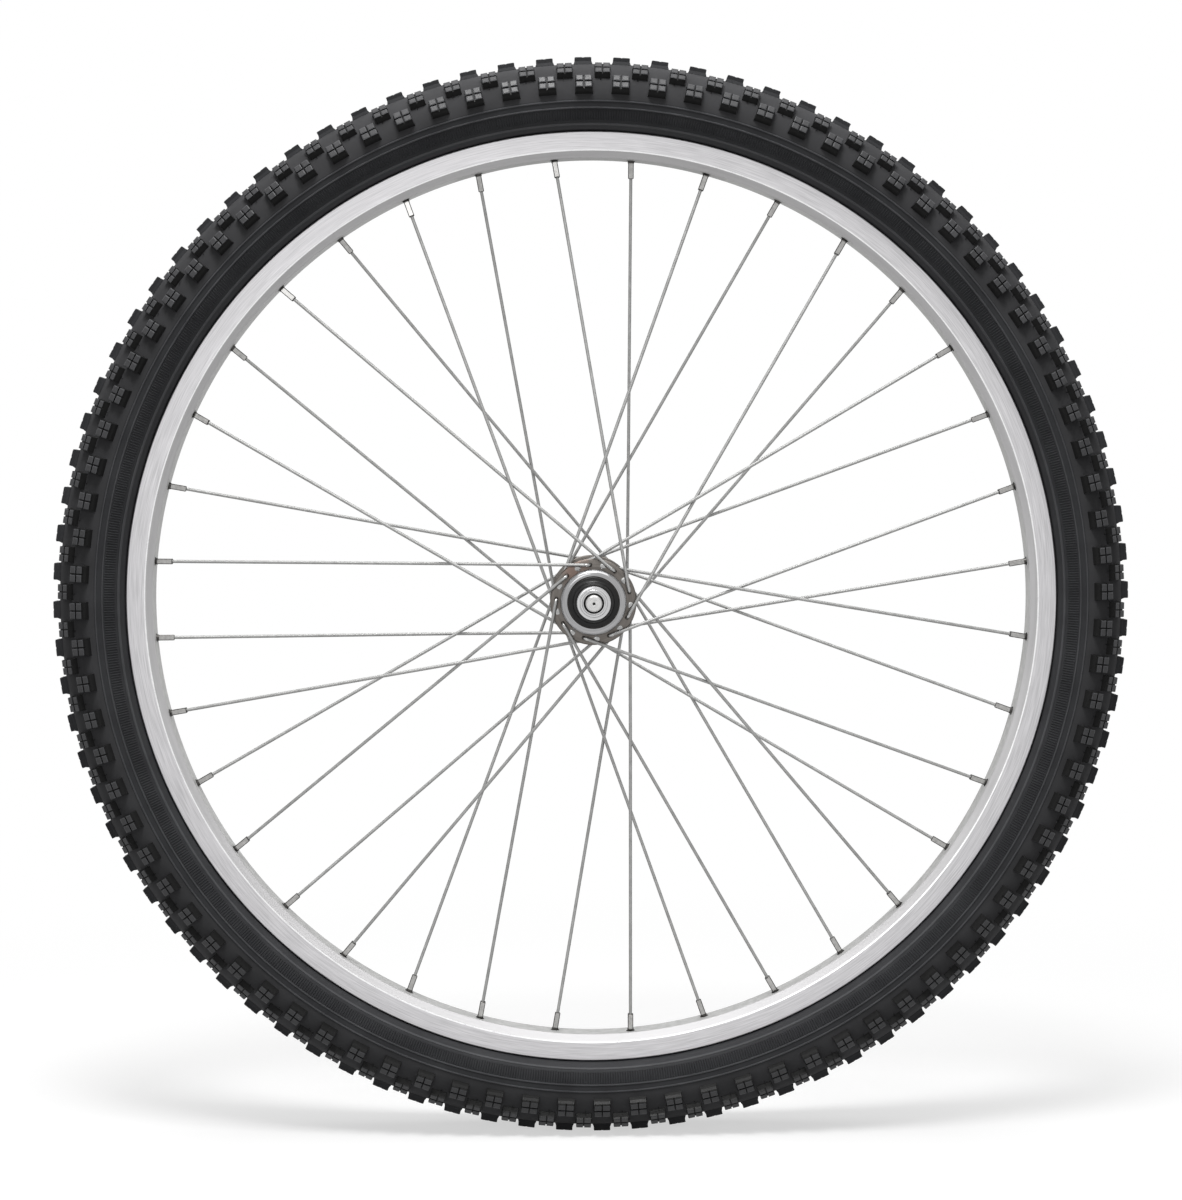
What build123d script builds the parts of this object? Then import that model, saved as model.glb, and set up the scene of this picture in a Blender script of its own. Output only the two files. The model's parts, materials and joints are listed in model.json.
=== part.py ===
"""Knobby 26 inch bicycle wheel: tyre, tube, double-wall rim, laced spokes and a cup-and-cone hub.

The origin is the wheel's centre. +Y runs along the axle and +Z is up.
Lengths are millimetres. "left" is the -Y side and "right" the +Y side.
Angles round the wheel run counter-clockwise as seen from the left side.
Profiles are drawn as (radius, y) and revolved about the axle.
"""
from build123d import *
from build123d.topology import SkipClean
import os
from math import cos, radians, sin

# Rim
rim_edge_r = 285.5
bead_seat_depth = 6.0
rim_width = 24.0
rim_flange_thick = 2.1
rim_edge_round = 0.7
brake_track_h = 11.5
rim_depth = 15.7
rim_bed_width = 16.0
rim_wall = 1.4
bed_wall = 2.0
well_depth = 2.0
well_slope = 0.9
seat_width = 3.2

# Tyre and tube
casing_r = 24.3
casing_rise = 17.5
casing_wall = 1.8
flank_turn = 120.0
lining_turn = 113.0
bead_width = 3.0
bead_lip = 1.0
bead_gap = 0.1
rim_gap = 0.5
tread_pitches = 88
tread_segments = 8
knob_sink = 0.9
knob_taper = 9.0
crest_length = 10.6
crest_width = 12.0
crest_height = 3.8
crest_phase = 0.25
second_length = 9.6
second_width = 10.4
second_height = 4.2
second_turn = 38.0
second_phase = crest_phase + 0.5
shoulder_length = 10.4
shoulder_width = 10.2
shoulder_height = 4.6
shoulder_turn = 71.0
tube_wall = 0.8
tube_gap = 0.3
tape_thick = 0.6
tape_gap = 0.2

# Spokes and nipples
spoke_count = 36
crosses = 4
spoke_d = 2.0
elbow_stand = 3.1
elbow_bend_r = 2.4
lacing_gap = 0.3
lacing_bend_r = 60.0
head_r = 1.85
head_dome = 0.6
head_gap = 0.06
rim_hole_offset = 1.5
first_rim_angle = 5.0
nipple_r = 2.0
nipple_flat = 3.4
nipple_corner_r = 0.8
nipple_collar = 3.8
nipple_len = 12.0
nipple_tip = 0.5
nipple_head_r = 2.9
nipple_head_h = 2.4
nipple_head_round = 3.6
nipple_bore_gap = 0.1
nipple_hole_gap = 0.25
nipple_seat_cut = 0.45

# Hub shell
flange_mid_y = 31.0
flange_thick = 3.0
flange_r = 26.2
flange_bevel_width = 2.0
flange_bevel = 0.8
spoke_circle_d = 45.0
spoke_hole_gap = 0.25
barrel_r = 12.5
barrel_bore_r = 9.5
barrel_half = 10.0
boss_r = 17.5
boss_len = 5.0
boss_root = 2.5

# Axle and bearings
axle_r = 5.0
locknut_span = 100.0
axle_proud = 4.5
axle_chamfer = 0.8
axle_relief = 0.3
centre_drill_r = 0.9
thread_rise = 0.325
thread_gap = 0.05
ball_d = 6.35
ball_count = 9
ball_circle_r = 9.7
ball_mid_y = 34.0
race_gap = 0.1
race_turn = 80.0
contact_turn = 45.0
cup_wall = 2.2
cup_floor = 1.5
cup_gap = 0.02
cone_nose = 3.0
cone_shoulder = 1.3
sleeve_r = 8.6
spacer_len = 2.0
locknut_len = 5.0
locknut_r = 10.2
locknut_chamfer = 0.5
locknut_ring_r = 6.8
locknut_ring_step = 0.35

# Dust caps and seals
cap_r = 20.0
cap_mouth_r = 15.6
cap_top = 1.9
cap_fit = 0.02
cap_shoulder_r = 3.4
seal_gap = 0.3
seal_lip = 2.6
seal_lip_thick = 1.2
seal_step = 1.5
seal_nose_r = 11.4

# Derived places
half_rim = rim_width / 2
bead_seat_r = rim_edge_r - bead_seat_depth
rim_bed_r = rim_edge_r - rim_depth
well_r = bead_seat_r - well_depth
channel_y = half_rim - rim_flange_thick
seat_in_y = channel_y - seat_width
half_well = seat_in_y - well_slope
casing_centre_r = rim_edge_r + casing_rise
lining_r = casing_r - casing_wall
bead_out_y = channel_y - bead_gap
bead_in_y = bead_out_y - bead_width
bead_foot_r = bead_seat_r + bead_gap
bead_top_r = rim_edge_r + rim_gap
bead_lining_r = bead_top_r + casing_wall
spoke_r = spoke_d / 2
spoke_circle_r = spoke_circle_d / 2
spoke_hole_r = spoke_r + spoke_hole_gap
flange_out_y = flange_mid_y + flange_thick / 2
flange_in_y = flange_mid_y - flange_thick / 2
boss_end_y = flange_out_y + boss_len
nipple_seat_r = rim_bed_r + bed_wall - nipple_seat_cut
pair_turn = 2 * 360.0 / spoke_count
set_size = spoke_count // 4
set_turn = 360.0 / set_size
ball_r = ball_d / 2
race_r = ball_r + race_gap
cup_r = ball_circle_r + race_r + cup_wall
cup_in_y = ball_mid_y - race_r - cup_floor
race_rise = race_r * sin(radians(race_turn))
race_reach = race_r * cos(radians(race_turn))
contact_rise = race_r * cos(radians(contact_turn))
contact_reach = race_r * sin(radians(contact_turn))
axle_core_r = axle_r - thread_rise
bore_r = axle_core_r + thread_gap
locknut_face_y = locknut_span / 2
axle_end_y = locknut_face_y + axle_relief
locknut_back_y = locknut_face_y - locknut_len
cone_end_y = locknut_back_y - spacer_len
cap_end_y = boss_end_y + cap_top
pitch_turn = 360.0 / tread_pitches


def wheel_point(radius, angle, y):
    """A point at a radius and an angle round the wheel, and at y along the axle."""
    return Vector(radius * cos(radians(angle)), y, radius * sin(radians(angle)))


def casing_point(radius, turn):
    """(radius, y) of a point of the tyre's section, turned from the crest towards the right."""
    return (casing_centre_r + radius * cos(radians(turn)), radius * sin(radians(turn)))


def turned(count, step, start=0.0):
    """Places for copies turned about the axle, counter-clockwise by one step after another."""
    return Locations(*[Location((0, 0, 0), (0, -start - step * i, 0)) for i in range(count)])


def mirrored(points):
    """A whole outline from its right half: the points and their mirror images, back again."""
    return points + [(r, -y) for r, y in reversed(points)]


def write(node, name):
    """Label a finished piece and write it to its own file."""
    node.part.label = name
    export_step(node.part, f"parts/{name}.step")


def write_pair(node, name):
    """Write a piece that is modelled on the right, and its mirror image on the left."""
    write(node, f"right_{name}")
    with BuildPart() as left:
        mirror(node.part, about=Plane.XZ)
    write(left, f"left_{name}")


def spoke_run(side, outer):
    """Corners of one spoke's centre line: head, elbow, last cross and nipple seat.

    side is -1 for the left flange and 1 for the right. An outer spoke bends at the outside
    of its flange, leans counter-clockwise and ducks under its inner partner at the last cross.
    """
    lean = 1 if outer else -1
    first = first_rim_angle if side > 0 else first_rim_angle + pair_turn / 2
    rim_angle = first if outer else first + pair_turn
    hub_angle = rim_angle - lean * crosses * pair_turn
    elbow_ys = (flange_out_y + elbow_stand, flange_in_y - elbow_stand)
    elbow_y = elbow_ys[0] if outer else elbow_ys[1]
    head_y = flange_in_y if outer else flange_out_y
    hub_side = spoke_circle_r * sin(radians((crosses - 0.5) * pair_turn))
    rim_side = nipple_seat_r * sin(radians(0.5 * pair_turn))
    share = hub_side / (hub_side + rim_side)
    cross_y = (1 - share) * sum(elbow_ys) / 2 + share * rim_hole_offset
    cross_y -= lean * (spoke_d + lacing_gap) / 2
    head = wheel_point(spoke_circle_r, hub_angle, side * head_y)
    elbow = wheel_point(spoke_circle_r, hub_angle, side * elbow_y)
    seat = wheel_point(nipple_seat_r, rim_angle, side * rim_hole_offset)
    straight = elbow + (seat - elbow) * share
    cross = Vector(straight.X, side * cross_y, straight.Z)
    return head, elbow, cross, seat


def nipple_plane(side, outer):
    """Plane at a nipple's seat: its Y axis runs along the spoke, towards the hub."""
    _, _, cross, seat = spoke_run(side, outer)
    along = (cross - seat).normalized()
    across = along.cross(Vector(0, 1, 0)).normalized()
    return Plane(origin=seat, x_dir=across, z_dir=across.cross(along))


def head_plane(side, outer):
    """Plane at a spoke's head: its Y axis runs along the hole, out of the flange on the head's side."""
    head, elbow, _, _ = spoke_run(side, outer)
    out = (head - elbow).normalized()
    across = Vector(head.X, 0, head.Z).normalized()
    return Plane(origin=head, x_dir=across, z_dir=across.cross(out))


def plane_axis(plane):
    """The line through a plane's origin along its Y axis."""
    return Axis(plane.origin, plane.y_dir)


spoke_sets = {
    "left_outer": (-1, True),
    "left_inner": (-1, False),
    "right_outer": (1, True),
    "right_inner": (1, False),
}

os.makedirs("parts", exist_ok=True)

# Rim: double-wall section with flat braking sides, slanted shoulders and a flat inner bed
rim_outline = mirrored(
    [
        (rim_edge_r, half_rim),
        (rim_edge_r - brake_track_h, half_rim),
        (rim_bed_r, rim_bed_width / 2),
    ]
)
rim_channel = mirrored(
    [
        (rim_edge_r + rim_wall, channel_y),
        (bead_seat_r, channel_y),
        (bead_seat_r, seat_in_y),
        (well_r, half_well),
    ]
)
rim_cavity = mirrored(
    [
        (well_r - rim_wall, half_rim - rim_wall),
        (rim_edge_r - brake_track_h + rim_wall / 2, half_rim - rim_wall),
        (rim_bed_r + bed_wall, rim_bed_width / 2 - rim_wall / 2),
    ]
)


def nipple_drill(side, outer):
    """Stepped drill for a nipple: access hole in the outer wall, seat, and hole in the bed."""
    plane = nipple_plane(side, outer)
    access_r = nipple_head_r + nipple_hole_gap
    hole_r = nipple_r + nipple_hole_gap
    with BuildPart() as drill:
        with BuildSketch(plane):
            with BuildLine():
                Polyline(
                    (0, -rim_depth),
                    (access_r, -rim_depth),
                    (access_r, 0),
                    (hole_r, 0),
                    (hole_r, nipple_len),
                    (0, nipple_len),
                    close=True,
                )
            make_face()
        revolve(axis=plane_axis(plane))
    return drill.part


nipple_drills = [nipple_drill(*which) for which in spoke_sets.values()]
with BuildPart() as rim:
    with BuildSketch(Plane.XY):
        with BuildLine():
            Polyline(*rim_outline, close=True)
        make_face()
        for hollow in (rim_channel, rim_cavity):
            with BuildLine():
                Polyline(*hollow, close=True)
            make_face(mode=Mode.SUBTRACT)
    revolve(axis=Axis.Y)
    edge_corners = rim.edges().filter_by(GeomType.CIRCLE).group_by(SortBy.RADIUS)[-1]
    fillet(edge_corners, rim_edge_round)
    for drill in nipple_drills:
        with turned(set_size, set_turn):
            add(drill, mode=Mode.SUBTRACT)
write(rim, "rim")

# Rim tape over the access holes, in the well between the bead seats
with BuildPart() as rim_tape:
    with BuildSketch(Plane.XY):
        with Locations((well_r + tape_gap + tape_thick / 2, 0)):
            Rectangle(tape_thick, 2 * (half_well - tape_gap))
    revolve(axis=Axis.Y)
write(rim_tape, "rim_tape")

# Tyre: one segment is revolved and given its knobs, and the segments join into one moulding
band_turns = (0, second_turn, shoulder_turn, 90)
tread_corners = [
    casing_point(casing_r / cos(radians((far - near) / 2)), (near + far) / 2)
    for near, far in zip(band_turns, band_turns[1:])
]
side_point = casing_point(casing_r, 90)
flank = casing_point(casing_r, flank_turn)
flank_low = (bead_top_r, bead_out_y + bead_lip)
lining = casing_point(lining_r, lining_turn)
lining_low = (bead_lining_r, bead_in_y)


def hollow_arc(high, low):
    """Arc of the lower sidewall, from its wide end in to the bead, bulging towards the rim."""
    middle = ((high[0] + 2 * low[0]) / 3, (2 * high[1] + low[1]) / 3)
    return ThreePointArc(high, middle, low)


def knob_block(length, width, height, turn):
    """One tapered tread knob standing on the casing, sunk into it by knob_sink."""
    foot_r, foot_y = casing_point(casing_r - knob_sink, turn)
    out = (cos(radians(turn)), sin(radians(turn)), 0)
    with BuildPart() as knob:
        with BuildSketch(Plane(origin=(foot_r, foot_y, 0), x_dir=(0, 0, 1), z_dir=out)):
            Rectangle(length, width)
        extrude(amount=knob_sink + height, taper=knob_taper)
    return knob.part


def knob_pair(length, width, height, turn):
    """The same knob on both sides of the crest."""
    return [knob_block(length, width, height, turn), knob_block(length, width, height, -turn)]


crest_knob = knob_block(crest_length, crest_width, crest_height, 0)
second_knobs = knob_pair(second_length, second_width, second_height, second_turn)
shoulder_knobs = knob_pair(shoulder_length, shoulder_width, shoulder_height, shoulder_turn)
segment_pitches = tread_pitches // tread_segments
with BuildPart() as tyre_segment:
    with BuildSketch(Plane.XY):
        with BuildLine():
            Polyline((tread_corners[0][0], 0), *tread_corners, side_point)
            ThreePointArc(side_point, casing_point(casing_r, (90 + flank_turn) / 2), flank)
            hollow_arc(flank, flank_low)
            Polyline(
                flank_low,
                (bead_top_r, bead_out_y),
                (bead_foot_r, bead_out_y),
                (bead_foot_r, bead_in_y),
                lining_low,
            )
            hollow_arc(lining, lining_low)
            ThreePointArc(lining, casing_point(lining_r, lining_turn / 2), casing_point(lining_r, 0))
            Line(casing_point(lining_r, 0), (tread_corners[0][0], 0))
        make_face()
        mirror(about=Plane.XZ)
    revolve(axis=Axis.Y, revolution_arc=360 / tread_segments)
    for knob in (crest_knob, *shoulder_knobs):
        with turned(segment_pitches, -pitch_turn, -crest_phase * pitch_turn):
            add(knob, clean=False)
    for knob in second_knobs:
        with turned(segment_pitches, -pitch_turn, -second_phase * pitch_turn):
            add(knob, clean=False)
with SkipClean(), BuildPart() as tyre:
    with turned(tread_segments, 360 / tread_segments):
        add(tyre_segment.part)
write(tyre, "tyre")

# Inner tube: a closed rubber ring that fills the casing and hangs between the beads to the tape
tube_r = lining_r - tube_gap
tube_wide = casing_point(tube_r, lining_turn)
tube_neck = (bead_lining_r + tube_gap, bead_in_y - tube_gap)
tube_foot = (bead_foot_r + bead_width, bead_in_y - tube_gap)
tube_low_r = well_r + tape_gap + tape_thick + tube_gap
with BuildPart() as inner_tube:
    with BuildSketch(Plane.XY):
        with BuildLine():
            ThreePointArc(casing_point(tube_r, 0), casing_point(tube_r, lining_turn / 2), tube_wide)
            hollow_arc(tube_wide, tube_neck)
            Line(tube_neck, tube_foot)
            TangentArc((tube_low_r, 0), tube_foot, tangent=(0, 1))
            Line((tube_low_r, 0), casing_point(tube_r, 0))
        make_face()
        mirror(about=Plane.XZ)
        offset(amount=-tube_wall, mode=Mode.SUBTRACT)
    revolve(axis=Axis.Y)
write(inner_tube, "inner_tube")


# Spokes: a headed wire that turns at the flange, bows at the last cross and ends in its nipple
def spoke_wire(side, outer):
    """One whole spoke with its elbow, its bow at the last cross and its head."""
    head, elbow, cross, seat = spoke_run(side, outer)
    seat_plane = head_plane(side, outer)
    with BuildPart() as spoke:
        with BuildLine() as run:
            FilletPolyline(head, elbow, cross, seat, radius=[elbow_bend_r, lacing_bend_r])
        with BuildSketch(Plane(origin=run.line @ 0, z_dir=run.line % 0)):
            Circle(spoke_r)
        sweep()
        with BuildSketch(seat_plane):
            with BuildLine():
                Polyline(
                    (0, spoke_r - head_r),
                    (spoke_r, spoke_r - head_r),
                    (head_r, 0),
                    (spoke_r, head_dome),
                    (0, head_dome),
                    close=True,
                )
            make_face()
        revolve(axis=plane_axis(seat_plane))
    return spoke.part


def nipple_body(side, outer):
    """One nipple: domed head, round collar through the rim, and a square shank with a bore."""
    plane = nipple_plane(side, outer)
    bore = spoke_r + nipple_bore_gap
    shank_foot = plane.origin + plane.y_dir * nipple_collar
    shank_plane = Plane(origin=shank_foot, x_dir=plane.x_dir, z_dir=plane.y_dir)
    with BuildPart() as nipple:
        with BuildSketch(plane):
            with BuildLine():
                Polyline((0, -nipple_head_h), (nipple_r, -nipple_head_h))
                RadiusArc((nipple_r, -nipple_head_h), (nipple_head_r, 0), nipple_head_round)
                Polyline((nipple_head_r, 0), (nipple_r, 0), (nipple_r, nipple_collar), (0, nipple_collar))
                Line((0, nipple_collar), (0, -nipple_head_h))
            make_face()
        revolve(axis=plane_axis(plane))
        with BuildSketch(shank_plane):
            RectangleRounded(nipple_flat, nipple_flat, nipple_corner_r)
        extrude(amount=nipple_len - nipple_collar)
        chamfer(nipple.faces().sort_by(plane_axis(plane))[-1].edges(), nipple_tip)
        with BuildSketch(Plane(origin=plane.origin, z_dir=plane.y_dir)):
            Circle(bore)
        extrude(amount=2 * nipple_len, both=True, mode=Mode.SUBTRACT)
    return nipple.part


for name, which in spoke_sets.items():
    wire = spoke_wire(*which)
    with SkipClean(), BuildPart() as spokes:
        with turned(set_size, set_turn):
            add(wire)
    write(spokes, f"{name}_spokes")

for side_name in ("left", "right"):
    with SkipClean(), BuildPart() as nipples:
        for name, which in spoke_sets.items():
            if name.startswith(side_name):
                body = nipple_body(*which)
                with turned(set_size, set_turn):
                    add(body)
    write(nipples, f"{side_name}_nipples")


# Hub shell: two drilled flanges on a waisted barrel, with a boss and a bearing seat at each end
def spoke_hole(side, outer):
    """Drill for one flange hole, countersunk on the side where the spoke's head sits."""
    plane = head_plane(side, outer)
    sink_r = head_r + head_gap
    with BuildPart() as hole:
        with BuildSketch(plane):
            with BuildLine():
                Polyline(
                    (0, flange_thick),
                    (sink_r + flange_thick, flange_thick),
                    (spoke_hole_r, spoke_hole_r - sink_r),
                    (spoke_hole_r, -2 * flange_thick),
                    (0, -2 * flange_thick),
                    close=True,
                )
            make_face()
        revolve(axis=plane_axis(plane))
    return hole.part


spoke_holes = [spoke_hole(*which) for which in spoke_sets.values()]
bearing_seat_r = cup_r + cup_gap
with BuildPart() as hub_shell:
    with BuildSketch(Plane.XY):
        with BuildLine():
            Line((barrel_bore_r, 0), (barrel_r, 0))
            Line((barrel_r, 0), (barrel_r, barrel_half))
            TangentArc((barrel_r, barrel_half), (boss_r, flange_in_y - boss_root), tangent=(0, 1))
            Polyline(
                (boss_r, flange_in_y - boss_root),
                (boss_r + boss_root, flange_in_y),
                (flange_r - flange_bevel_width, flange_in_y),
                (flange_r, flange_in_y + flange_bevel),
                (flange_r, flange_out_y - flange_bevel),
                (flange_r - flange_bevel_width, flange_out_y),
                (boss_r, flange_out_y),
                (boss_r, boss_end_y),
                (bearing_seat_r, boss_end_y),
                (bearing_seat_r, cup_in_y),
                (barrel_bore_r, cup_in_y),
                (barrel_bore_r, 0),
            )
        make_face()
        mirror(about=Plane.XZ)
    revolve(axis=Axis.Y)
    for hole in spoke_holes:
        with turned(set_size, set_turn):
            add(hole, mode=Mode.SUBTRACT)
write(hub_shell, "hub_shell")

# Bearing cup: pressed ring whose race wraps the outer, inward quarter of the balls
with BuildPart() as bearing_cup:
    with BuildSketch(Plane.XY):
        race_in = (ball_circle_r + race_reach, ball_mid_y - race_rise)
        race_mid = (ball_circle_r + contact_reach, ball_mid_y - contact_rise)
        race_out = (ball_circle_r + race_r, ball_mid_y)
        with BuildLine():
            ThreePointArc(race_in, race_mid, race_out)
            Polyline(
                race_out,
                (race_out[0], boss_end_y - cup_floor),
                (cup_r, boss_end_y - cup_floor),
                (cup_r, cup_in_y),
                (race_in[0], cup_in_y),
                race_in,
            )
        make_face()
    revolve(axis=Axis.Y)
write_pair(bearing_cup, "bearing_cup")

# Cone: threaded on the axle, its race under the inner, outward quarter of the balls
with BuildPart() as cone:
    with BuildSketch(Plane.XY):
        race_low = (ball_circle_r - race_r, ball_mid_y)
        race_half = (ball_circle_r - contact_reach, ball_mid_y + contact_rise)
        race_high = (ball_circle_r - race_reach, ball_mid_y + race_rise)
        with BuildLine():
            ThreePointArc(race_low, race_half, race_high)
            Polyline(
                race_high,
                (race_high[0], race_high[1] + cone_shoulder),
                (sleeve_r, race_high[1] + cone_shoulder),
                (sleeve_r, cone_end_y),
                (bore_r, cone_end_y),
                (bore_r, ball_mid_y - cone_nose),
                (race_low[0], ball_mid_y - cone_nose),
                race_low,
            )
        make_face()
    revolve(axis=Axis.Y)
write_pair(cone, "cone")

# Loose balls, evenly spaced round each bearing
with BuildPart() as balls:
    ball_turns = [360 * i / ball_count for i in range(ball_count)]
    with Locations(*[wheel_point(ball_circle_r, turn, ball_mid_y) for turn in ball_turns]):
        Sphere(ball_r)
write_pair(balls, "balls")

# Dust cap: rounded ring pressed over the boss, with a lip that reaches in over the bearing
cap_bore_r = boss_r + cap_fit
cap_base_y = flange_out_y + cap_fit
with BuildPart() as dust_cap:
    with BuildSketch(Plane.XY):
        with BuildLine():
            Polyline(
                (cap_bore_r, cap_base_y),
                (cap_r, cap_base_y),
                (cap_r, cap_end_y - cap_shoulder_r),
            )
            RadiusArc(
                (cap_r, cap_end_y - cap_shoulder_r),
                (cap_r - cap_shoulder_r, cap_end_y),
                -cap_shoulder_r,
            )
            Polyline(
                (cap_r - cap_shoulder_r, cap_end_y),
                (cap_mouth_r, cap_end_y),
                (cap_mouth_r, boss_end_y + cap_fit),
                (cap_bore_r, boss_end_y + cap_fit),
                (cap_bore_r, cap_base_y),
            )
        make_face()
    revolve(axis=Axis.Y)
write_pair(dust_cap, "dust_cap")

# Seal: stepped rubber boot on the cone, its lip standing inside the dust cap's mouth
seal_bore_r = sleeve_r + thread_gap
seal_in_y = ball_mid_y + race_rise + cone_shoulder + seal_gap
seal_lip_r = cap_mouth_r - seal_gap
with BuildPart() as seal:
    with BuildSketch(Plane.XY):
        with BuildLine():
            Polyline(
                (seal_bore_r, seal_in_y),
                (seal_lip_r, seal_in_y),
                (seal_lip_r, seal_in_y + seal_lip_thick),
                (seal_lip_r - seal_lip, seal_in_y + seal_lip_thick),
                (seal_lip_r - seal_lip, seal_in_y + seal_lip_thick + seal_step),
                (seal_nose_r, locknut_back_y),
                (seal_bore_r, locknut_back_y),
                close=True,
            )
        make_face()
    revolve(axis=Axis.Y)
write_pair(seal, "seal")

# Spacer between the cone and the locknut
with BuildPart() as spacer:
    with BuildSketch(Plane.XZ.offset(-cone_end_y)):
        Circle(sleeve_r)
        Circle(bore_r, mode=Mode.SUBTRACT)
    extrude(amount=-spacer_len)
write_pair(spacer, "spacer")

# Locknut: round nut with a raised ring on the face that bears on the fork end
with BuildPart() as locknut:
    with BuildSketch(Plane.XY):
        with BuildLine():
            Polyline(
                (bore_r, locknut_back_y),
                (locknut_r, locknut_back_y),
                (locknut_r, locknut_face_y - locknut_chamfer),
                (locknut_r - locknut_chamfer, locknut_face_y),
                (locknut_ring_r, locknut_face_y),
                (locknut_ring_r, locknut_face_y - locknut_ring_step),
                (bore_r, locknut_face_y - locknut_ring_step),
                close=True,
            )
        make_face()
    revolve(axis=Axis.Y)
write_pair(locknut, "locknut")

# Axle: solid bar at its thread's pitch line, with full, chamfered and centre-drilled ends past a relief
axle_half = locknut_face_y + axle_proud
with BuildPart() as axle:
    with BuildSketch(Plane.XY):
        with BuildLine():
            Polyline(
                (0, 0),
                (axle_core_r, 0),
                (axle_core_r, axle_end_y),
                (axle_r, axle_end_y),
                (axle_r, axle_half - axle_chamfer),
                (axle_r - axle_chamfer, axle_half),
                (centre_drill_r, axle_half),
                (0, axle_half - centre_drill_r),
                close=True,
            )
        make_face()
        mirror(about=Plane.XZ)
    revolve(axis=Axis.Y)
write(axle, "axle")
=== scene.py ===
"""Finished pieces of a knobby bicycle wheel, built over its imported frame.

Lengths are metres. The origin is the wheel's centre, +Y runs along the axle and +Z is up.
Outlines are (radius, y) pairs, and angles round the wheel run from +X towards +Z.
"""
from __future__ import annotations

import json
import logging
import math
from collections.abc import Callable, Iterator, Sequence
from contextlib import contextmanager
from dataclasses import dataclass
from enum import Enum
from functools import cache

import bmesh
import bpy
from mathutils import Matrix, Vector

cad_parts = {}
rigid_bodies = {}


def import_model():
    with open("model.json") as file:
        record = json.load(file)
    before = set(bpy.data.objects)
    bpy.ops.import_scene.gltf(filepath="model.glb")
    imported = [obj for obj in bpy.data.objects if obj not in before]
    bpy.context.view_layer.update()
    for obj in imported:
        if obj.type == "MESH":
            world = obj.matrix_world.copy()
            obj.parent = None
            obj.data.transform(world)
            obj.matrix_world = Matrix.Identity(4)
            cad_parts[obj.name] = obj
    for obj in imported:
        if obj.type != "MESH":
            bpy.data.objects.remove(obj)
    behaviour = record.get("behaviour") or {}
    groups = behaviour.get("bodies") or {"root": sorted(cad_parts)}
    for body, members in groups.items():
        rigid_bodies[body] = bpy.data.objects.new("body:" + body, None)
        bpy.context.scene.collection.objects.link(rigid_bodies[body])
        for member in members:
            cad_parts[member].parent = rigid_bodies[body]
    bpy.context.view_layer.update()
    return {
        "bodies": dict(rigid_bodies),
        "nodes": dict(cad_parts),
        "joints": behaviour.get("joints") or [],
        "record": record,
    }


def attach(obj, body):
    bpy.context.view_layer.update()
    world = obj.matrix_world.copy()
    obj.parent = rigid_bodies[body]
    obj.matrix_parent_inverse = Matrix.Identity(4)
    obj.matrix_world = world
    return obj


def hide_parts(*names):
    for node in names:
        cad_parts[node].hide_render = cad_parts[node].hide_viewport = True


LOG = logging.getLogger("wheel")
MM = 0.001
FULL_TURN = 2 * math.pi
MERGE = 0.000002
# The least cosine between a direction and the normal of a face that faces it.
FACING = 0.9
AXLE = (0.0, 1.0, 0.0)
CENTRE = (0.0, 0.0, 0.0)
WHITE = (1.0, 1.0, 1.0, 1.0)

Point = tuple[float, float]
Outline = list[Point]
Color = tuple[float, float, float]
Place = tuple[float, float, float]
Piece = bpy.types.Object
Socket = bpy.types.NodeSocket
FaceTest = Callable[[Vector, Vector], bool]


class Worded(Enum):
    """Options whose names are used in the names of pieces."""

    @property
    def word(self) -> str:
        """The option's name in piece names."""
        return self.name.lower()


class Side(Worded):
    """The two sides of the wheel, with the sign of y on each."""

    LEFT = -1
    RIGHT = 1


class Elbow(Worded):
    """The side of its flange on which a spoke bends, with the sense of its lean."""

    OUTER = 1
    INNER = -1


class Body(Enum):
    """The bodies that new pieces ride on."""

    WHEEL = "wheel"
    AXLE_SET = "axle_set"


SPOKE_SETS = tuple((side, elbow) for side in Side for elbow in Elbow)


def focus(piece: Piece) -> None:
    """Make a piece the only selected object, and the active one.

    Args:
        piece: The piece.
    """
    bpy.ops.object.select_all(action="DESELECT")
    piece.select_set(True)
    bpy.context.view_layer.objects.active = piece


def bake(piece: Piece) -> None:
    """Put a piece's place, turn and scale into its mesh."""
    focus(piece)
    bpy.ops.object.transform_apply(location=True, rotation=True, scale=True)


def adopt(name: str) -> Piece:
    """Name the primitive that was just added, and put its place into its mesh.

    Args:
        name: The piece's name.

    Returns:
        The primitive's object.
    """
    piece = bpy.context.object
    piece.name = name
    piece.data.name = name
    bake(piece)
    return piece


@contextmanager
def editing(piece: Piece) -> Iterator[None]:
    """Open a piece's mesh in edit mode with all of it selected, and close it again.

    Args:
        piece: The piece.

    Returns:
        A context in which the mesh is open.
    """
    focus(piece)
    bpy.ops.object.mode_set(mode="EDIT")
    bpy.ops.mesh.select_mode(type="VERT")
    bpy.ops.mesh.select_all(action="SELECT")
    yield
    bpy.ops.object.mode_set(mode="OBJECT")


def pick_points(piece: Piece, test: Callable[[Vector], bool]) -> None:
    """Select the vertices of an open mesh whose place passes a test.

    Args:
        piece: The piece whose mesh is open.
        test: The test of a place.
    """
    bpy.ops.mesh.select_mode(type="VERT")
    mesh = bmesh.from_edit_mesh(piece.data)
    for vert in mesh.verts:
        vert.select_set(test(vert.co))
    mesh.select_flush_mode()
    bmesh.update_edit_mesh(piece.data)


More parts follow.
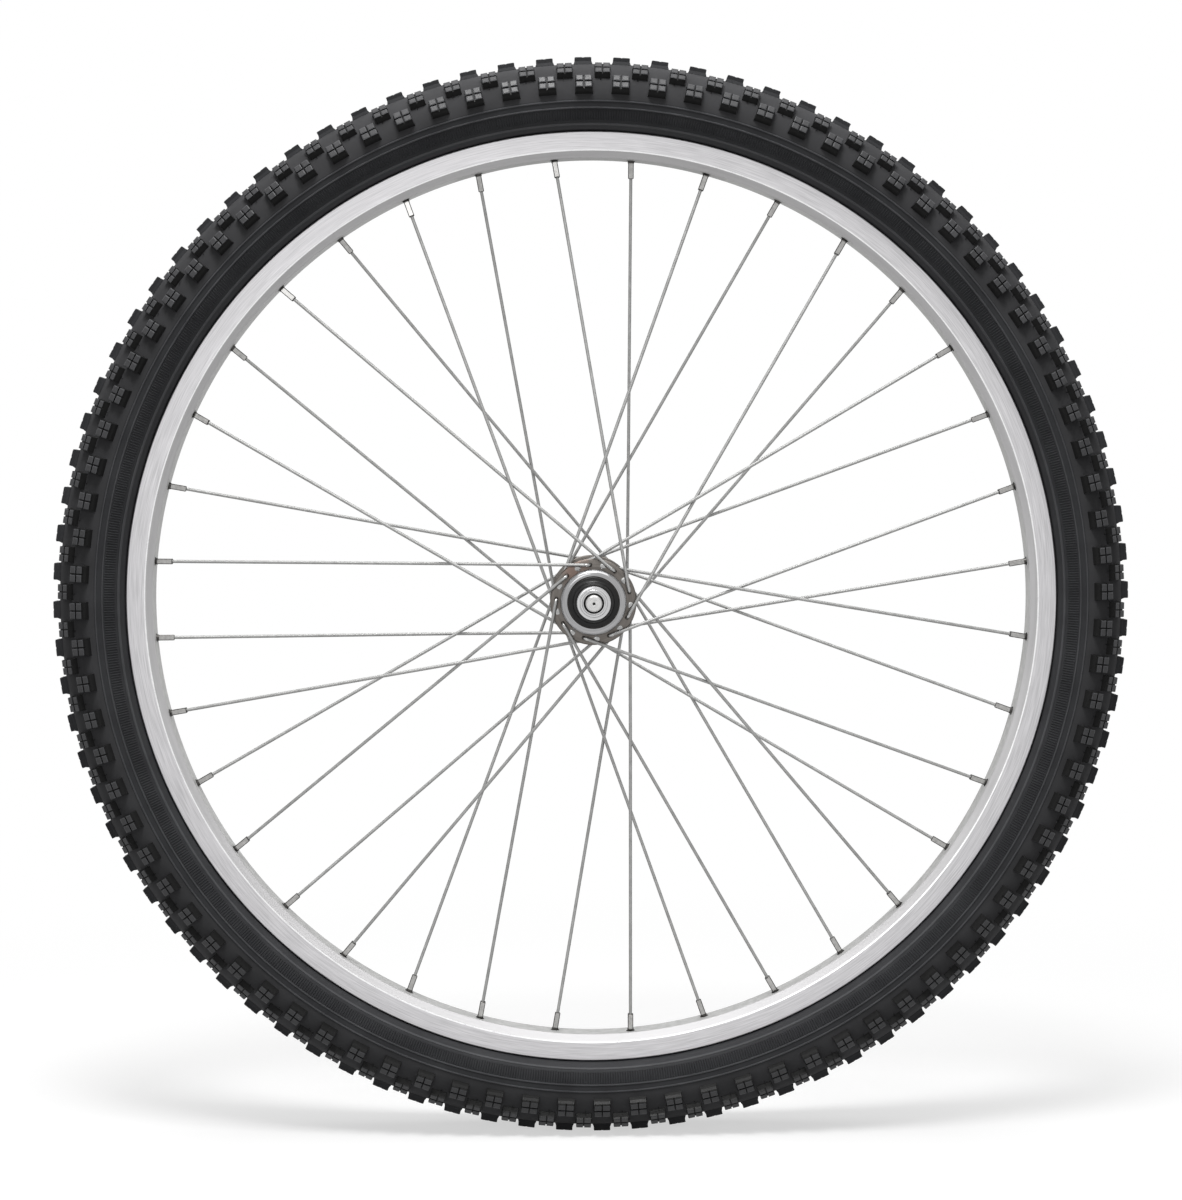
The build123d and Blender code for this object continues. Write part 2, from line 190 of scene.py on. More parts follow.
def pick_faces(piece: Piece, test: FaceTest) -> None:
    """Select the faces of an open mesh whose middle and normal pass a test.

    Args:
        piece: The piece whose mesh is open.
        test: The test of a middle and a normal.
    """
    bpy.ops.mesh.select_mode(type="FACE")
    mesh = bmesh.from_edit_mesh(piece.data)
    for face in mesh.faces:
        face.select_set(test(face.calc_center_median(), face.normal))
    mesh.select_flush_mode()
    bmesh.update_edit_mesh(piece.data)


def push(step: Sequence[float]) -> None:
    """Extrude what is selected by a step."""
    bpy.ops.mesh.extrude_region_move(TRANSFORM_OT_translate={"value": tuple(step)})


def close_seams() -> None:
    """Merge an open mesh's doubles and turn its faces outwards."""
    bpy.ops.mesh.select_all(action="SELECT")
    bpy.ops.mesh.remove_doubles(threshold=MERGE)
    bpy.ops.mesh.normals_make_consistent(inside=False)


def cylinder(name: str, sides: int, radius: float, length: float, middle: float = 0.0) -> Piece:
    """Make a cylinder that stands along Z on the origin's axis.

    Args:
        name: The cylinder's name.
        sides: Its sides.
        radius: Its radius.
        length: Its length.
        middle: The height of its middle.

    Returns:
        The cylinder.
    """
    bpy.ops.mesh.primitive_cylinder_add(
        vertices=sides, radius=radius, depth=length, location=(0, 0, middle)
    )
    return adopt(name)


def single_point(name: str, place: Sequence[float]) -> Piece:
    """A piece with one vertex, from which lines are drawn out.

    Args:
        name: The piece's name.
        place: The vertex's place.

    Returns:
        The piece.
    """
    bpy.ops.mesh.primitive_plane_add(size=MM, location=place)
    point = adopt(name)
    with editing(point):
        bpy.ops.mesh.merge(type="CENTER")
    return point


def lathe(name: str, outline: Outline, steps: int) -> Piece:
    """Turn a closed outline about the axle into a ring.

    Args:
        name: The ring's name.
        outline: Corners of its section, in order.
        steps: Divisions round the axle.

    Returns:
        The ring, as one closed shell.
    """
    ring = single_point(name, (*outline[0], 0.0))
    with editing(ring):
        for near, far in zip(outline, outline[1:] + outline[:1]):
            push((far[0] - near[0], far[1] - near[1], 0))
        bpy.ops.mesh.select_all(action="SELECT")
        bpy.ops.mesh.remove_doubles(threshold=MERGE)
        bpy.ops.mesh.select_all(action="SELECT")
        bpy.ops.mesh.spin(steps=steps, angle=FULL_TURN, center=CENTRE, axis=AXLE)
        close_seams()
    return ring


def repeat_round(piece: Piece, count: int) -> None:
    """Copy a piece's shape evenly round the axle, count times in all.

    Args:
        piece: The piece, with the first shape.
        count: Shapes in all.
    """
    last = FULL_TURN * (count - 1) / count
    with editing(piece):
        bpy.ops.mesh.spin(steps=count - 1, angle=last, center=CENTRE, axis=AXLE, dupli=True)


def weld(name: str, parts: Sequence[Piece]) -> Piece:
    """Join finished shapes into one piece.

    Args:
        name: The joined piece's name.
        parts: The shapes, of which the first takes in the others.

    Returns:
        The joined piece.
    """
    focus(parts[0])
    for part in parts[1:]:
        part.select_set(True)
    bpy.ops.object.join()
    parts[0].name = name
    parts[0].data.name = name
    return parts[0]


def cut_away(piece: Piece, cutter: Piece) -> None:
    """Cut one shape out of a piece and throw the cutter away.

    Args:
        piece: The piece that is cut.
        cutter: The shape that is cut out.
    """
    focus(piece)
    bpy.ops.object.modifier_add(type="BOOLEAN")
    cut = piece.modifiers[-1]
    cut.operation = "DIFFERENCE"
    cut.solver = "EXACT"
    cut.use_self = False
    cut.object = cutter
    bpy.ops.object.modifier_apply(modifier=cut.name)
    focus(cutter)
    bpy.ops.object.delete()


def settle(piece: Piece, frame: Matrix) -> None:
    """Set a shape that was made at the origin into a frame, in its mesh."""
    piece.matrix_world = frame
    bake(piece)


def drill_round(piece: Piece, drill: Piece, frame: Matrix, count: int) -> None:
    """Cut a drill, set into a frame and repeated round the axle, out of a piece.

    Args:
        piece: The piece that is drilled.
        drill: The drill, made at the origin.
        frame: The first hole's frame.
        count: Holes in all.
    """
    settle(drill, frame)
    repeat_round(drill, count)
    cut_away(piece, drill)


def frame_at(origin: Vector, across: Vector, along: Vector) -> Matrix:
    """A right-handed frame with its X across and its Z along two square directions.

    Args:
        origin: The frame's place.
        across: Direction of its X axis.
        along: Direction of its Z axis.

    Returns:
        The frame as a matrix.
    """
    third = along.cross(across)
    turned = Matrix((across, third, along)).transposed().to_4x4()
    return Matrix.Translation(origin) @ turned


def soften(piece: Piece, degrees: float) -> None:
    """Shade a piece smooth, apart from edges sharper than an angle."""
    focus(piece)
    bpy.ops.object.shade_smooth_by_angle(angle=math.radians(degrees))


def mirrored(points: Outline) -> Outline:
    """A whole outline from its right half: the points and their mirror images, back again."""
    return points + [(r, -y) for r, y in reversed(points) if abs(y) > MERGE]


def arc(centre: Point, radius: float, start: float, end: float, count: int) -> Outline:
    """Points along an arc of an outline.

    Args:
        centre: The arc's centre.
        radius: The arc's radius.
        start: First angle in degrees, from the radial direction towards +y.
        end: Last angle in degrees.
        count: Number of points, with both ends.

    Returns:
        The points in order.
    """
    turns = [math.radians(start + (end - start) * i / (count - 1)) for i in range(count)]
    return [(centre[0] + radius * math.cos(t), centre[1] + radius * math.sin(t)) for t in turns]


def sided(outline: Outline, side: Side) -> Outline:
    """An outline that is written for the right side, on either side."""
    return [(r, y * side.value) for r, y in outline]


def wheel_point(radius: float, degrees: float, y: float) -> Vector:
    """A point at a radius and an angle round the wheel, and at y along the axle."""
    angle = math.radians(degrees)
    return Vector((radius * math.cos(angle), y, radius * math.sin(angle)))


def off_axle(point: Vector) -> float:
    """A point's distance from the axle."""
    return math.hypot(point.x, point.z)


class NodeBoard:
    """The node tree of a material or a world, laid out through short calls."""

    def __init__(self, owner: bpy.types.Material | bpy.types.World) -> None:
        """Start with an empty tree.

        Args:
            owner: The material or world.
        """
        owner.use_nodes = True
        self.owner = owner
        self.tree = owner.node_tree
        self.tree.nodes.clear()

    def feed(self, node: bpy.types.Node, sockets: dict) -> None:
        """Link or set a node's inputs, by name or number.

        Args:
            node: The node.
            sockets: Values or sockets for its inputs.
        """
        for key, value in sockets.items():
            if isinstance(value, bpy.types.NodeSocket):
                self.tree.links.new(value, node.inputs[key])
            else:
                node.inputs[key].default_value = value

    def add(self, kind: str, sockets: dict, **settings: object) -> bpy.types.Node:
        """Add a node.

        Args:
            kind: The node's type without its ShaderNode prefix.
            sockets: Values or sockets for its inputs.
            settings: Values for its own options.

        Returns:
            The node.
        """
        node = self.tree.nodes.new("ShaderNode" + kind)
        for key, value in settings.items():
            setattr(node, key, value)
        self.feed(node, sockets)
        return node

    def math(self, operation: str, *values: object) -> Socket:
        """The result of one arithmetic step."""
        return self.add("Math", dict(enumerate(values)), operation=operation).outputs[0]

    def place(self) -> Socket:
        """The place on the piece."""
        return self.add("TexCoord", {}).outputs["Object"]

    def polar(self) -> tuple[Socket, Socket, Socket]:
        """Radius, y and angle round the axle of the place on the piece.

        Returns:
            The radius, y and the angle.
        """
        across, y, up = self.add("SeparateXYZ", {0: self.place()}).outputs
        squares = [self.math("MULTIPLY", part, part) for part in (across, up)]
        return self.math("SQRT", self.math("ADD", *squares)), y, self.math("ARCTAN2", up, across)

    def seen(self) -> Socket:
        """1 on rays by which the background is seen, straight or in a reflection, and 0 elsewhere.

        Returns:
            The 1 or 0.
        """
        path = self.add("LightPath", {}).outputs
        share = self.math("MAXIMUM", path["Is Camera Ray"], path["Is Glossy Ray"])
        return self.math("MAXIMUM", share, path["Is Transmission Ray"])

    def noise(self, scale: float, detail: float) -> Socket:
        """A cloudy pattern between 0 and 1."""
        sockets = {"Vector": self.place(), "Scale": scale, "Detail": detail}
        return self.add("TexNoise", sockets).outputs[0]

    def spread(
        self, value: Socket, low: float, high: float, near: float = 0.3, far: float = 0.7
    ) -> Socket:
        """A pattern stretched from near..far to low..high."""
        sockets = {0: value, 1: near, 2: far, 3: low, 4: high}
        return self.add("MapRange", sockets).outputs[0]

    def blend(self, share: Socket, first: Color | Socket, second: Color | Socket) -> Socket:
        """A colour between two, by a share.

        Args:
            share: The second colour's share.
            first: The first colour.
            second: The second colour.

        Returns:
            The blended colour.
        """
        node = self.add("Mix", {0: share}, data_type="RGBA")
        for key, value in ((6, first), (7, second)):
            self.feed(node, {key: value if isinstance(value, bpy.types.NodeSocket) else (*value, 1.0)})
        return node.outputs[2]

    def bump(self, height: Socket, strength: float, distance: float) -> Socket:
        """A normal that follows a height pattern."""
        sockets = {"Strength": strength, "Distance": distance, "Height": height}
        return self.add("Bump", sockets).outputs[0]

    def close(self, kind: str, shader: bpy.types.Node) -> None:
        """Lead a shader to the tree's output, of a material or of a world."""
        self.add("Output" + kind, {"Surface": shader.outputs[0]})

    def finish(self, **sockets: object) -> bpy.types.Material:
        """Close a material with a surface shader, whose inputs are named with _ for spaces.

        Args:
            sockets: Values or sockets for the shader's inputs.

        Returns:
            The material.
        """
        named = {key.replace("_", " "): value for key, value in sockets.items()}
        self.close("Material", self.add("BsdfPrincipled", named))
        return self.owner


def grey(level: float) -> Color:
    """A neutral colour."""
    return (level, level, level)


def clouded(finish: Rubber | PlainMetal, **sockets: object) -> bpy.types.Material:
    """Build a surface with slight clouding and a fine grain.

    Args:
        finish: Its colours, roughness and grain.
        sockets: Further inputs of its shader.

    Returns:
        The material.
    """
    board = NodeBoard(bpy.data.materials.new(finish.name))
    cloud = board.noise(finish.cloud, 4.0)
    color = board.blend(board.spread(cloud, 0.0, 1.0), finish.dark, finish.pale)
    rough = board.spread(cloud, *finish.roughness)
    normal = board.bump(board.noise(finish.grain, 2.0), finish.grain_strength, finish.grain_height)
    return board.finish(Base_Color=color, Roughness=rough, Normal=normal, **sockets)


@dataclass(frozen=True)
class Rubber:
    """Moulded rubber with a faint bloom and a fine grain."""

    name: str
    dark: Color
    pale: Color
    roughness: tuple[float, float] = (0.42, 0.60)
    shine: float = 0.3
    cloud: float = 45.0
    grain: float = 1400.0
    grain_strength: float = 0.15
    grain_height: float = 0.2 * MM

    def material(self) -> bpy.types.Material:
        """Build the rubber's material."""
        return clouded(self, Specular_IOR_Level=self.shine)


@dataclass(frozen=True)
class PlainMetal:
    """Drawn, plated or ground metal with a fine grain and slight clouding."""

    name: str
    dark: Color
    pale: Color
    roughness: tuple[float, float]
    cloud: float = 220.0
    grain: float = 2500.0
    grain_strength: float = 0.06
    grain_height: float = 0.05 * MM

    def material(self) -> bpy.types.Material:
        """Build the metal's material."""
        return clouded(self, Metallic=1.0)


@dataclass(frozen=True)
class TurnedMetal:
    """Metal with rings or streaks round the axle, from a lathe, a die or a brake block."""

    name: str
    dark: Color
    pale: Color
    roughness: tuple[float, float]
    ring_scale: float
    streak_scale: float
    ring_strength: float = 0.1
    ring_height: float = 0.1 * MM
    stain: Color | None = None
    stain_place: Place = CENTRE
    stain_reach: float = 11.0 * MM
    stain_core: float = 3.3 * MM
    stain_edge: float = 4.0 * MM
    stain_cloud: float = 160.0
    stain_share: float = 0.7

    def material(self) -> bpy.types.Material:
        """Build the metal's material.

        Returns:
            The material.
        """
        board = NodeBoard(bpy.data.materials.new(self.name))
        radius, y, angle = board.polar()
        wrap = board.math("MULTIPLY", board.math("COSINE", angle), self.streak_scale)
        turn = board.math("MULTIPLY", board.math("SINE", angle), self.streak_scale)
        rings = board.math("MULTIPLY", radius, self.ring_scale)
        lines = board.math("MULTIPLY", y, self.ring_scale)
        vector = board.add("CombineXYZ", {0: rings, 1: lines, 2: wrap}).outputs[0]
        sockets = {"Vector": vector, "W": turn, "Scale": 1.0, "Detail": 3.0}
        streak = board.add("TexNoise", sockets, noise_dimensions="4D").outputs[0]
        color = board.blend(board.spread(streak, 0.0, 1.0), self.dark, self.pale)
        if self.stain is not None:
            color = board.blend(self.patch(board), color, self.stain)
        rough = board.spread(streak, *self.roughness)
        normal = board.bump(streak, self.ring_strength, self.ring_height)
        return board.finish(Base_Color=color, Metallic=1.0, Roughness=rough, Normal=normal)

    def patch(self, board: NodeBoard) -> Socket:
        """The stain's share of the colour, which ends in a ragged edge.

        Args:
            board: The material's nodes.

        Returns:
            The share.
        """
        offset = {0: board.place(), 1: self.stain_place}
        reach = board.add("VectorMath", offset, operation="DISTANCE").outputs["Value"]
        cloud = board.noise(self.stain_cloud, 4.0)
        ragged = board.math("ADD", reach, board.spread(cloud, -self.stain_edge, self.stain_edge))
        return board.spread(ragged, self.stain_share, 0.0, self.stain_core, self.stain_reach)


Finish = Rubber | TurnedMetal | PlainMetal

# On the knobs' walls this dark rubber is painted shade, and the paler land rubber on their tops is
# painted light.
TREAD_RUBBER = Rubber("tread_moulded", grey(0.011), grey(0.017), (0.28, 0.38), 0.09)
LAND_LIT_RUBBER = Rubber("tread_land_painted_light", (0.037, 0.037, 0.039), (0.057, 0.057, 0.060), (0.30, 0.42))
FLOOR_RUBBER = Rubber("tread_floor", (0.046, 0.046, 0.048), (0.064, 0.064, 0.067), (0.70, 0.80), 0.1)
SIDE_RUBBER = Rubber(
    "sidewall_moulded", (0.032, 0.0325, 0.035), (0.048, 0.049, 0.052), (0.46, 0.60), 0.1
)
# Pale rubber on the raised lines and on the rounded edges of the knob lands: painted highlights.
LINE_HIGHLIGHT_RUBBER = Rubber("line_painted_highlight", (0.060, 0.061, 0.065), (0.085, 0.086, 0.091), (0.40, 0.52), 0.2)
SEAL_RUBBER = Rubber("seal_moulded", grey(0.004), grey(0.008), (0.26, 0.40), cloud=300.0)
TUBE_RUBBER = Rubber("tube_moulded", grey(0.010), grey(0.018))
TAPE_RUBBER = Rubber("tape_moulded", grey(0.020), grey(0.040), (0.55, 0.75))
RIM_ALLOY = TurnedMetal(
    "rim_brushed", (0.46, 0.455, 0.465), (0.68, 0.67, 0.685), (0.32, 0.46), 2400.0, 16.0, 0.06
)
RIM_SATIN = TurnedMetal(
    "rim_satin", (0.48, 0.475, 0.48), (0.57, 0.565, 0.57), (0.66, 0.76), 500.0, 5.0, 0.01
)
# Darker metal on the bed between the slopes: painted shade.
RIM_BED_SHADE = PlainMetal("rim_bed_painted_shade", (0.40, 0.40, 0.395), (0.50, 0.50, 0.495), (0.62, 0.72))
# Pale metal on the corner between track and slope: a painted highlight.
RIM_EDGE_HIGHLIGHT = PlainMetal("rim_edge_painted_highlight", (0.78, 0.78, 0.79), grey(0.90), (0.26, 0.34))
# Near-black metal in the rim's nipple holes, the locknut's mouth and the axle's centre drill: painted
# shade in these recesses.
RECESS_SHADE = PlainMetal("recess_painted_shade", grey(0.02), grey(0.04), (0.50, 0.65))
HUB_ALLOY = TurnedMetal(
    "hub_turned",
    (0.125, 0.114, 0.104),
    (0.195, 0.180, 0.166),
    (0.36, 0.50),
    900.0,
    2.0,
    stain=(0.19, 0.130, 0.108),
    stain_place=(-12.0 * MM, -32.5 * MM, 19.0 * MM),
)
CAP_CHROME = TurnedMetal(
    "cap_polished", (0.28, 0.28, 0.285), (0.42, 0.42, 0.425), (0.10, 0.20), 2200.0, 1.5, 0.06
)
NUT_STEEL = TurnedMetal(
    "nut_turned", (0.46, 0.46, 0.47), grey(0.66), (0.20, 0.32), 2000.0, 0.6, 0.16
)
AXLE_STEEL = TurnedMetal(
    "axle_turned", grey(0.52), (0.72, 0.71, 0.70), (0.24, 0.36), 2000.0, 0.8, 0.14
)
SPOKE_STEEL = PlainMetal("spoke_drawn", (0.30, 0.30, 0.295), (0.40, 0.40, 0.395), (0.54, 0.64))
# Paler and glossier steel on the heads and elbows: the paler colour is a painted highlight.
HEAD_STEEL = PlainMetal("spoke_head_highlight", (0.34, 0.34, 0.335), (0.46, 0.46, 0.455), (0.14, 0.24))
NIPPLE_PLATE = PlainMetal(
    "nipple_plated", (0.32, 0.316, 0.309), (0.45, 0.445, 0.434), (0.12, 0.22), 500.0
)
# Dark metal on the nipples' ends, corners and collars: painted shade.
NIPPLE_SHADE = PlainMetal(
    "nipple_painted_shade", (0.05, 0.048, 0.046), (0.09, 0.087, 0.083), (0.30, 0.45), 500.0
)
BEARING_STEEL = PlainMetal("bearing_ground", (0.44, 0.44, 0.45), (0.56, 0.56, 0.57), (0.12, 0.22))


@cache
def material_of(finish: Finish) -> bpy.types.Material:
    """The one material of a finish, built when it is first asked for."""
    return finish.material()


def dress(piece: Piece, finish: Finish) -> None:
    """Give a whole piece one finish."""
    piece.data.materials.clear()
    piece.data.materials.append(material_of(finish))


def dress_faces(piece: Piece, finish: Finish, test: FaceTest) -> None:
    """Give the faces of a dressed piece that pass a test a second finish.

    Args:
        piece: The dressed piece.
        finish: The second finish.
        test: The test of a face's middle and normal.
    """
    piece.data.materials.append(material_of(finish))
    with editing(piece):
        pick_faces(piece, test)
        piece.active_material_index = len(piece.data.materials) - 1
        bpy.ops.object.material_slot_assign()


def turned(name: str, outline: Outline, steps: int, sharp: float, finish: Finish) -> Piece:
    """Make a ring in one finish.

    Args:
        name: The ring's name.
        outline: Corners of its section, in order.
        steps: Divisions round the axle.
        sharp: The angle in degrees from which its edges stay sharp.
        finish: Its finish.

    Returns:
        The dressed ring.
    """
    ring = lathe(name, outline, steps)
    soften(ring, sharp)
    dress(ring, finish)
    return ring


def mount(piece: Piece, body: Body, slot: str, *nodes: str) -> None:
    """Set a finished piece on its body, in place of the frame's own nodes.

    Args:
        piece: The finished piece.
        body: The body it rides on.
        slot: Not used.
        nodes: The nodes it stands for.
    """
    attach(piece, body.value)
    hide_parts(*nodes)
    LOG.info("%s: %d faces, on %s", piece.name, len(piece.data.polygons), body.value)


@dataclass(frozen=True)
class Knob:
    """One kind of tread knob, in its own frame: X along the tread, Y down the section, Z out."""

    name: str
    length: float
    width: float
    height: float
    turn: float
    phase: float
    top_edge: float
    row_groove: float
    groove_depth: float
    lean: float
    sink: float
    wall: Rubber = TREAD_RUBBER
    flare: float = 0.7 * MM


@dataclass
class Tyre:
    """The tyre: a casing with ribbed sides, three kinds of knob and moulding vents, as one piece."""

    centre_radius: float = 303.0 * MM
    casing_radius: float = 24.3 * MM
    tread_turn: float = 90.0
    lining_radius: float = 22.5 * MM
    lining_start: float = 100.0
    lining_turn: float = 113.0
    flank_start: float = 106.0
    flank_turn: float = 120.0
    flank_bend: Point = (0.25, 0.18)
    bead_top: float = 286.0 * MM
    bead_foot: float = 279.6 * MM
    bead_out: float = 9.8 * MM
    bead_in: float = 6.8 * MM
    bead_lip: float = 1.0 * MM
    line_turns: tuple[float, float] = (92.4, 101.9)
    line_spread: float = 1.2
    line_height: float = 0.6 * MM
    low_line: tuple[float, float] = (288.0 * MM, 289.2 * MM)
    pitches: int = 88
    casing_steps: int = 264
    ribs: int = 1200
    rib_turns: tuple[float, ...] = (104.6, 110.0, 115.0, 120.0)
    rib_height: float = 0.5 * MM
    rib_width: float = 0.8 * MM
    sipe: float = 0.9 * MM
    wall_cut: float = 0.35
    land_taper: tuple[float, float, float] = (0.95, 0.97, 1.0)
    land_edge: float = 0.55 * MM
    land_drop: float = 0.25 * MM
    land_level: float = 0.99
    edge_level: float = 0.8
    vent_sides: int = 5
    vent_radius: float = 0.32 * MM
    vent_taper: float = 0.45
    vent_sink: float = 0.8 * MM
    vent_stand: float = 1.6 * MM
    vent_tip: float = 331.0 * MM
    crest_vent: float = 0.31
    side_vents: tuple[tuple[float, float], ...] = ((55.0, 0.25), (60.0, 0.8))
    knobs: tuple[Knob, ...] = (
        Knob(
            "crest", 10.2 * MM, 11.4 * MM, 3.7 * MM, 0.0, 0.25,
            5.3 * MM, 0.0, 0.35 * MM, 0.0, 0.8 * MM, SIDE_RUBBER,
        ),
        Knob(
            "second", 9.2 * MM, 9.2 * MM, 4.2 * MM, 46.0, 0.75,
            4.1 * MM, -0.2 * MM, 1.4 * MM, -3.0, 2.0 * MM,
        ),
        Knob(
            "shoulder", 10.0 * MM, 9.4 * MM, 4.6 * MM, 70.0, 0.25,
            4.1 * MM, -0.3 * MM, 1.8 * MM, 8.0, 2.4 * MM,
        ),
    )

    def section_point(self, radius: float, turn: float) -> Point:
        """A point of the section, turned from the crest towards the right."""
        angle = math.radians(turn)
        return (self.centre_radius + radius * math.cos(angle), radius * math.sin(angle))

    def casing_outline(self) -> Outline:
        """The casing's closed section, with three raised lines on each sidewall.

        Returns:
            Corners of the section, in order.
        """
        centre = (self.centre_radius, 0.0)
        half = arc(centre, self.casing_radius, 0.0, self.tread_turn, 16)
        proud = self.casing_radius + self.line_height
        steps = ((-1.0, self.casing_radius), (-0.5, proud), (0.5, proud), (1.0, self.casing_radius))
        for turn in self.line_turns:
            for step, radius in steps:
                half.append(self.section_point(radius, turn + step * self.line_spread))
        half += arc(centre, self.casing_radius, self.flank_start, self.flank_turn, 5)
        low, high = self.low_line
        for r, y in self.hollow(half[-1], (self.bead_top, self.bead_out + self.bead_lip), 14):
            half.append((r, y + self.line_height if low < r < high else y))
        lining_foot = (self.bead_top + self.casing_radius - self.lining_radius, self.bead_in)
        lining = self.section_point(self.lining_radius, self.lining_turn)
        half += [
            (self.bead_top, self.bead_out),
            (self.bead_foot, self.bead_out),
            (self.bead_foot, self.bead_in),
            lining_foot,
            *reversed(self.hollow(lining, lining_foot, 5)[:-1]),
            lining,
            *arc(centre, self.lining_radius, self.lining_start, 0.0, 11),
        ]
        return mirrored(half)

    def hollow(self, high: Point, low: Point, count: int) -> Outline:
        """Points of the hollow lower sidewall, from its wide end in to the bead, without the first.

        Args:
            high: The wide end.
            low: The end at the bead.
            count: Number of points.

        Returns:
            The points in order.
        """
        rise, turn_in = self.flank_bend
        bend = (low[0] + rise * (high[0] - low[0]), high[1] - turn_in * (high[1] - low[1]))
        points = []
        for i in range(1, count + 1):
            t = i / count
            weights = ((1 - t) ** 2, 2 * t * (1 - t), t * t)
            r, y = (sum(w * p[k] for w, p in zip(weights, (high, bend, low))) for k in (0, 1))
            points.append((r, y))
        return points

    def casing(self) -> Piece:
        """The casing ring.

        Returns:
            The ring in its three finishes.
        """
        ring = turned("casing", self.casing_outline(), self.casing_steps, 40.0, SIDE_RUBBER)
        dress_faces(ring, FLOOR_RUBBER, self.on_tread)
        # The raised lines get a painted highlight.
        dress_faces(ring, LINE_HIGHLIGHT_RUBBER, self.on_line)
        return ring

    def on_tread(self, middle: Vector, normal: Vector) -> bool:
        """Whether a face of the casing lies between the knobs."""
        return off_axle(middle) > self.centre_radius

    def on_line(self, middle: Vector, normal: Vector) -> bool:
        """Whether a face of the casing belongs to a raised line, which carries a painted highlight.

        Args:
            middle: The face's middle.
            normal: The face's normal.

        Returns:
            True on a line.
        """
        radius = off_axle(middle)
        reach = math.hypot(radius - self.centre_radius, middle.y)
        low = self.low_line[0] < radius < self.low_line[1] and normal.y * middle.y > 0
        return low or reach > self.casing_radius + 0.15 * self.line_height

    def side_ribs(self, side: Side) -> Piece:
        """The fine ribs that stand on one sidewall, each running from the bead outwards.

        Args:
            side: The side of the wheel.

        Returns:
            The ribs as one shape.
        """
        spine = [self.section_point(self.casing_radius, turn) for turn in self.rib_turns]
        proud = self.section_point(self.casing_radius + self.rib_height, self.rib_turns[0])
        foot, *spine = sided(spine, side)
        rise = Vector((proud[0] - foot[0], side.value * proud[1] - foot[1], 0))
        run = Vector((0, 0, self.rib_width / 2))
        row = single_point("side_ribs", (*foot, -self.rib_width / 2))
        with editing(row):
            push(run + rise)
            push(run - rise)
            bpy.ops.mesh.select_all(action="SELECT")
            for near, far in zip([foot, *spine], spine):
                push((far[0] - near[0], far[1] - near[1], 0))
            close_seams()
        repeat_round(row, self.ribs)
        dress(row, SIDE_RUBBER)
        return row

    def stand_round(self, row: Piece, foot: Point, turn: float, phase: float, side: Side) -> None:
        """Stand a shape on the tread, once in each pitch.

        Args:
            row: The shape, along Z.
            foot: The place of its origin in the section, on the right side.
            turn: Its direction in the section, in degrees from the crest.
            phase: Its place along a pitch, as a share of it.
            side: The side of the crest.
        """
        angle = math.radians(turn)
        out = Vector((math.cos(angle), side.value * math.sin(angle), 0))
        origin = Vector((foot[0], side.value * foot[1], 0))
        settle(row, frame_at(origin, Vector((0, 0, -side.value)), out))
        settle(row, Matrix.Rotation(-phase * FULL_TURN / self.pitches, 4, "Y"))
        repeat_round(row, self.pitches)

    def knob_row(self, knob: Knob, side: Side) -> Piece:
        """All knobs of one kind on one side of the crest.

        Args:
            knob: The kind of knob.
            side: The side of the crest.

        Returns:
            The row as one shape.
        """
        floor = knob.height - knob.groove_depth
        bpy.ops.mesh.primitive_cube_add(
            size=1.0,
            location=(0, 0, (floor - knob.sink) / 2),
            scale=(knob.length, knob.width, floor + knob.sink),
        )
        row = adopt(f"{knob.name}_knobs")
        half_sipe = self.sipe / 2
        cuts = [((s * half_sipe, 0, 0), (1, 0, 0)) for s in (-1, 1)]
        cuts += [((0, knob.row_groove + s * half_sipe, 0), (0, 1, 0)) for s in (-1, 1)]
        cuts.append(((0, 0, self.wall_cut * floor), (0, 0, 1)))
        with editing(row):
            for point, normal in cuts:
                bpy.ops.mesh.select_all(action="SELECT")
                bpy.ops.mesh.bisect(plane_co=point, plane_no=normal)
            pick_points(row, lambda p: p.z < 0.1 * floor)
            spread = (1 + 2 * knob.flare / knob.length, 1 + 2 * knob.flare / knob.width, 1)
            bpy.ops.transform.resize(value=spread, center_override=(0, 0, 0))
            pick_points(row, lambda p: p.z > 0.9 * floor and p.y > knob.width / 2 - MERGE)
            bpy.ops.transform.translate(value=(0, knob.top_edge - knob.width / 2, 0))
            pick_faces(
                row,
                lambda middle, normal: normal.z > FACING
                and abs(middle.x) > half_sipe
                and abs(middle.y - knob.row_groove) > half_sipe,
            )
            push((0, 0, knob.groove_depth - self.land_drop))
            bpy.ops.transform.resize(value=self.land_taper, center_override=(0, knob.row_groove, 0))
            bpy.ops.mesh.inset(thickness=self.land_edge, depth=self.land_drop)
            close_seams()
        # The walls take the darker rubber as painted shade.
        dress(row, knob.wall)
        lands = 0.5 * (floor + knob.height)
        level, edge = self.land_level, self.edge_level
        # The lands take the paler rubber as painted light.
        dress_faces(row, LAND_LIT_RUBBER, lambda middle, normal: middle.z > lands and normal.z > level)
        # The rounded edges of the lands get a painted highlight.
        dress_faces(
            row, LINE_HIGHLIGHT_RUBBER, lambda middle, normal: middle.z > lands and edge < normal.z <= level
        )
        foot = self.section_point(self.casing_radius, knob.turn)
        self.stand_round(row, foot, knob.turn - knob.lean, knob.phase, side)
        return row

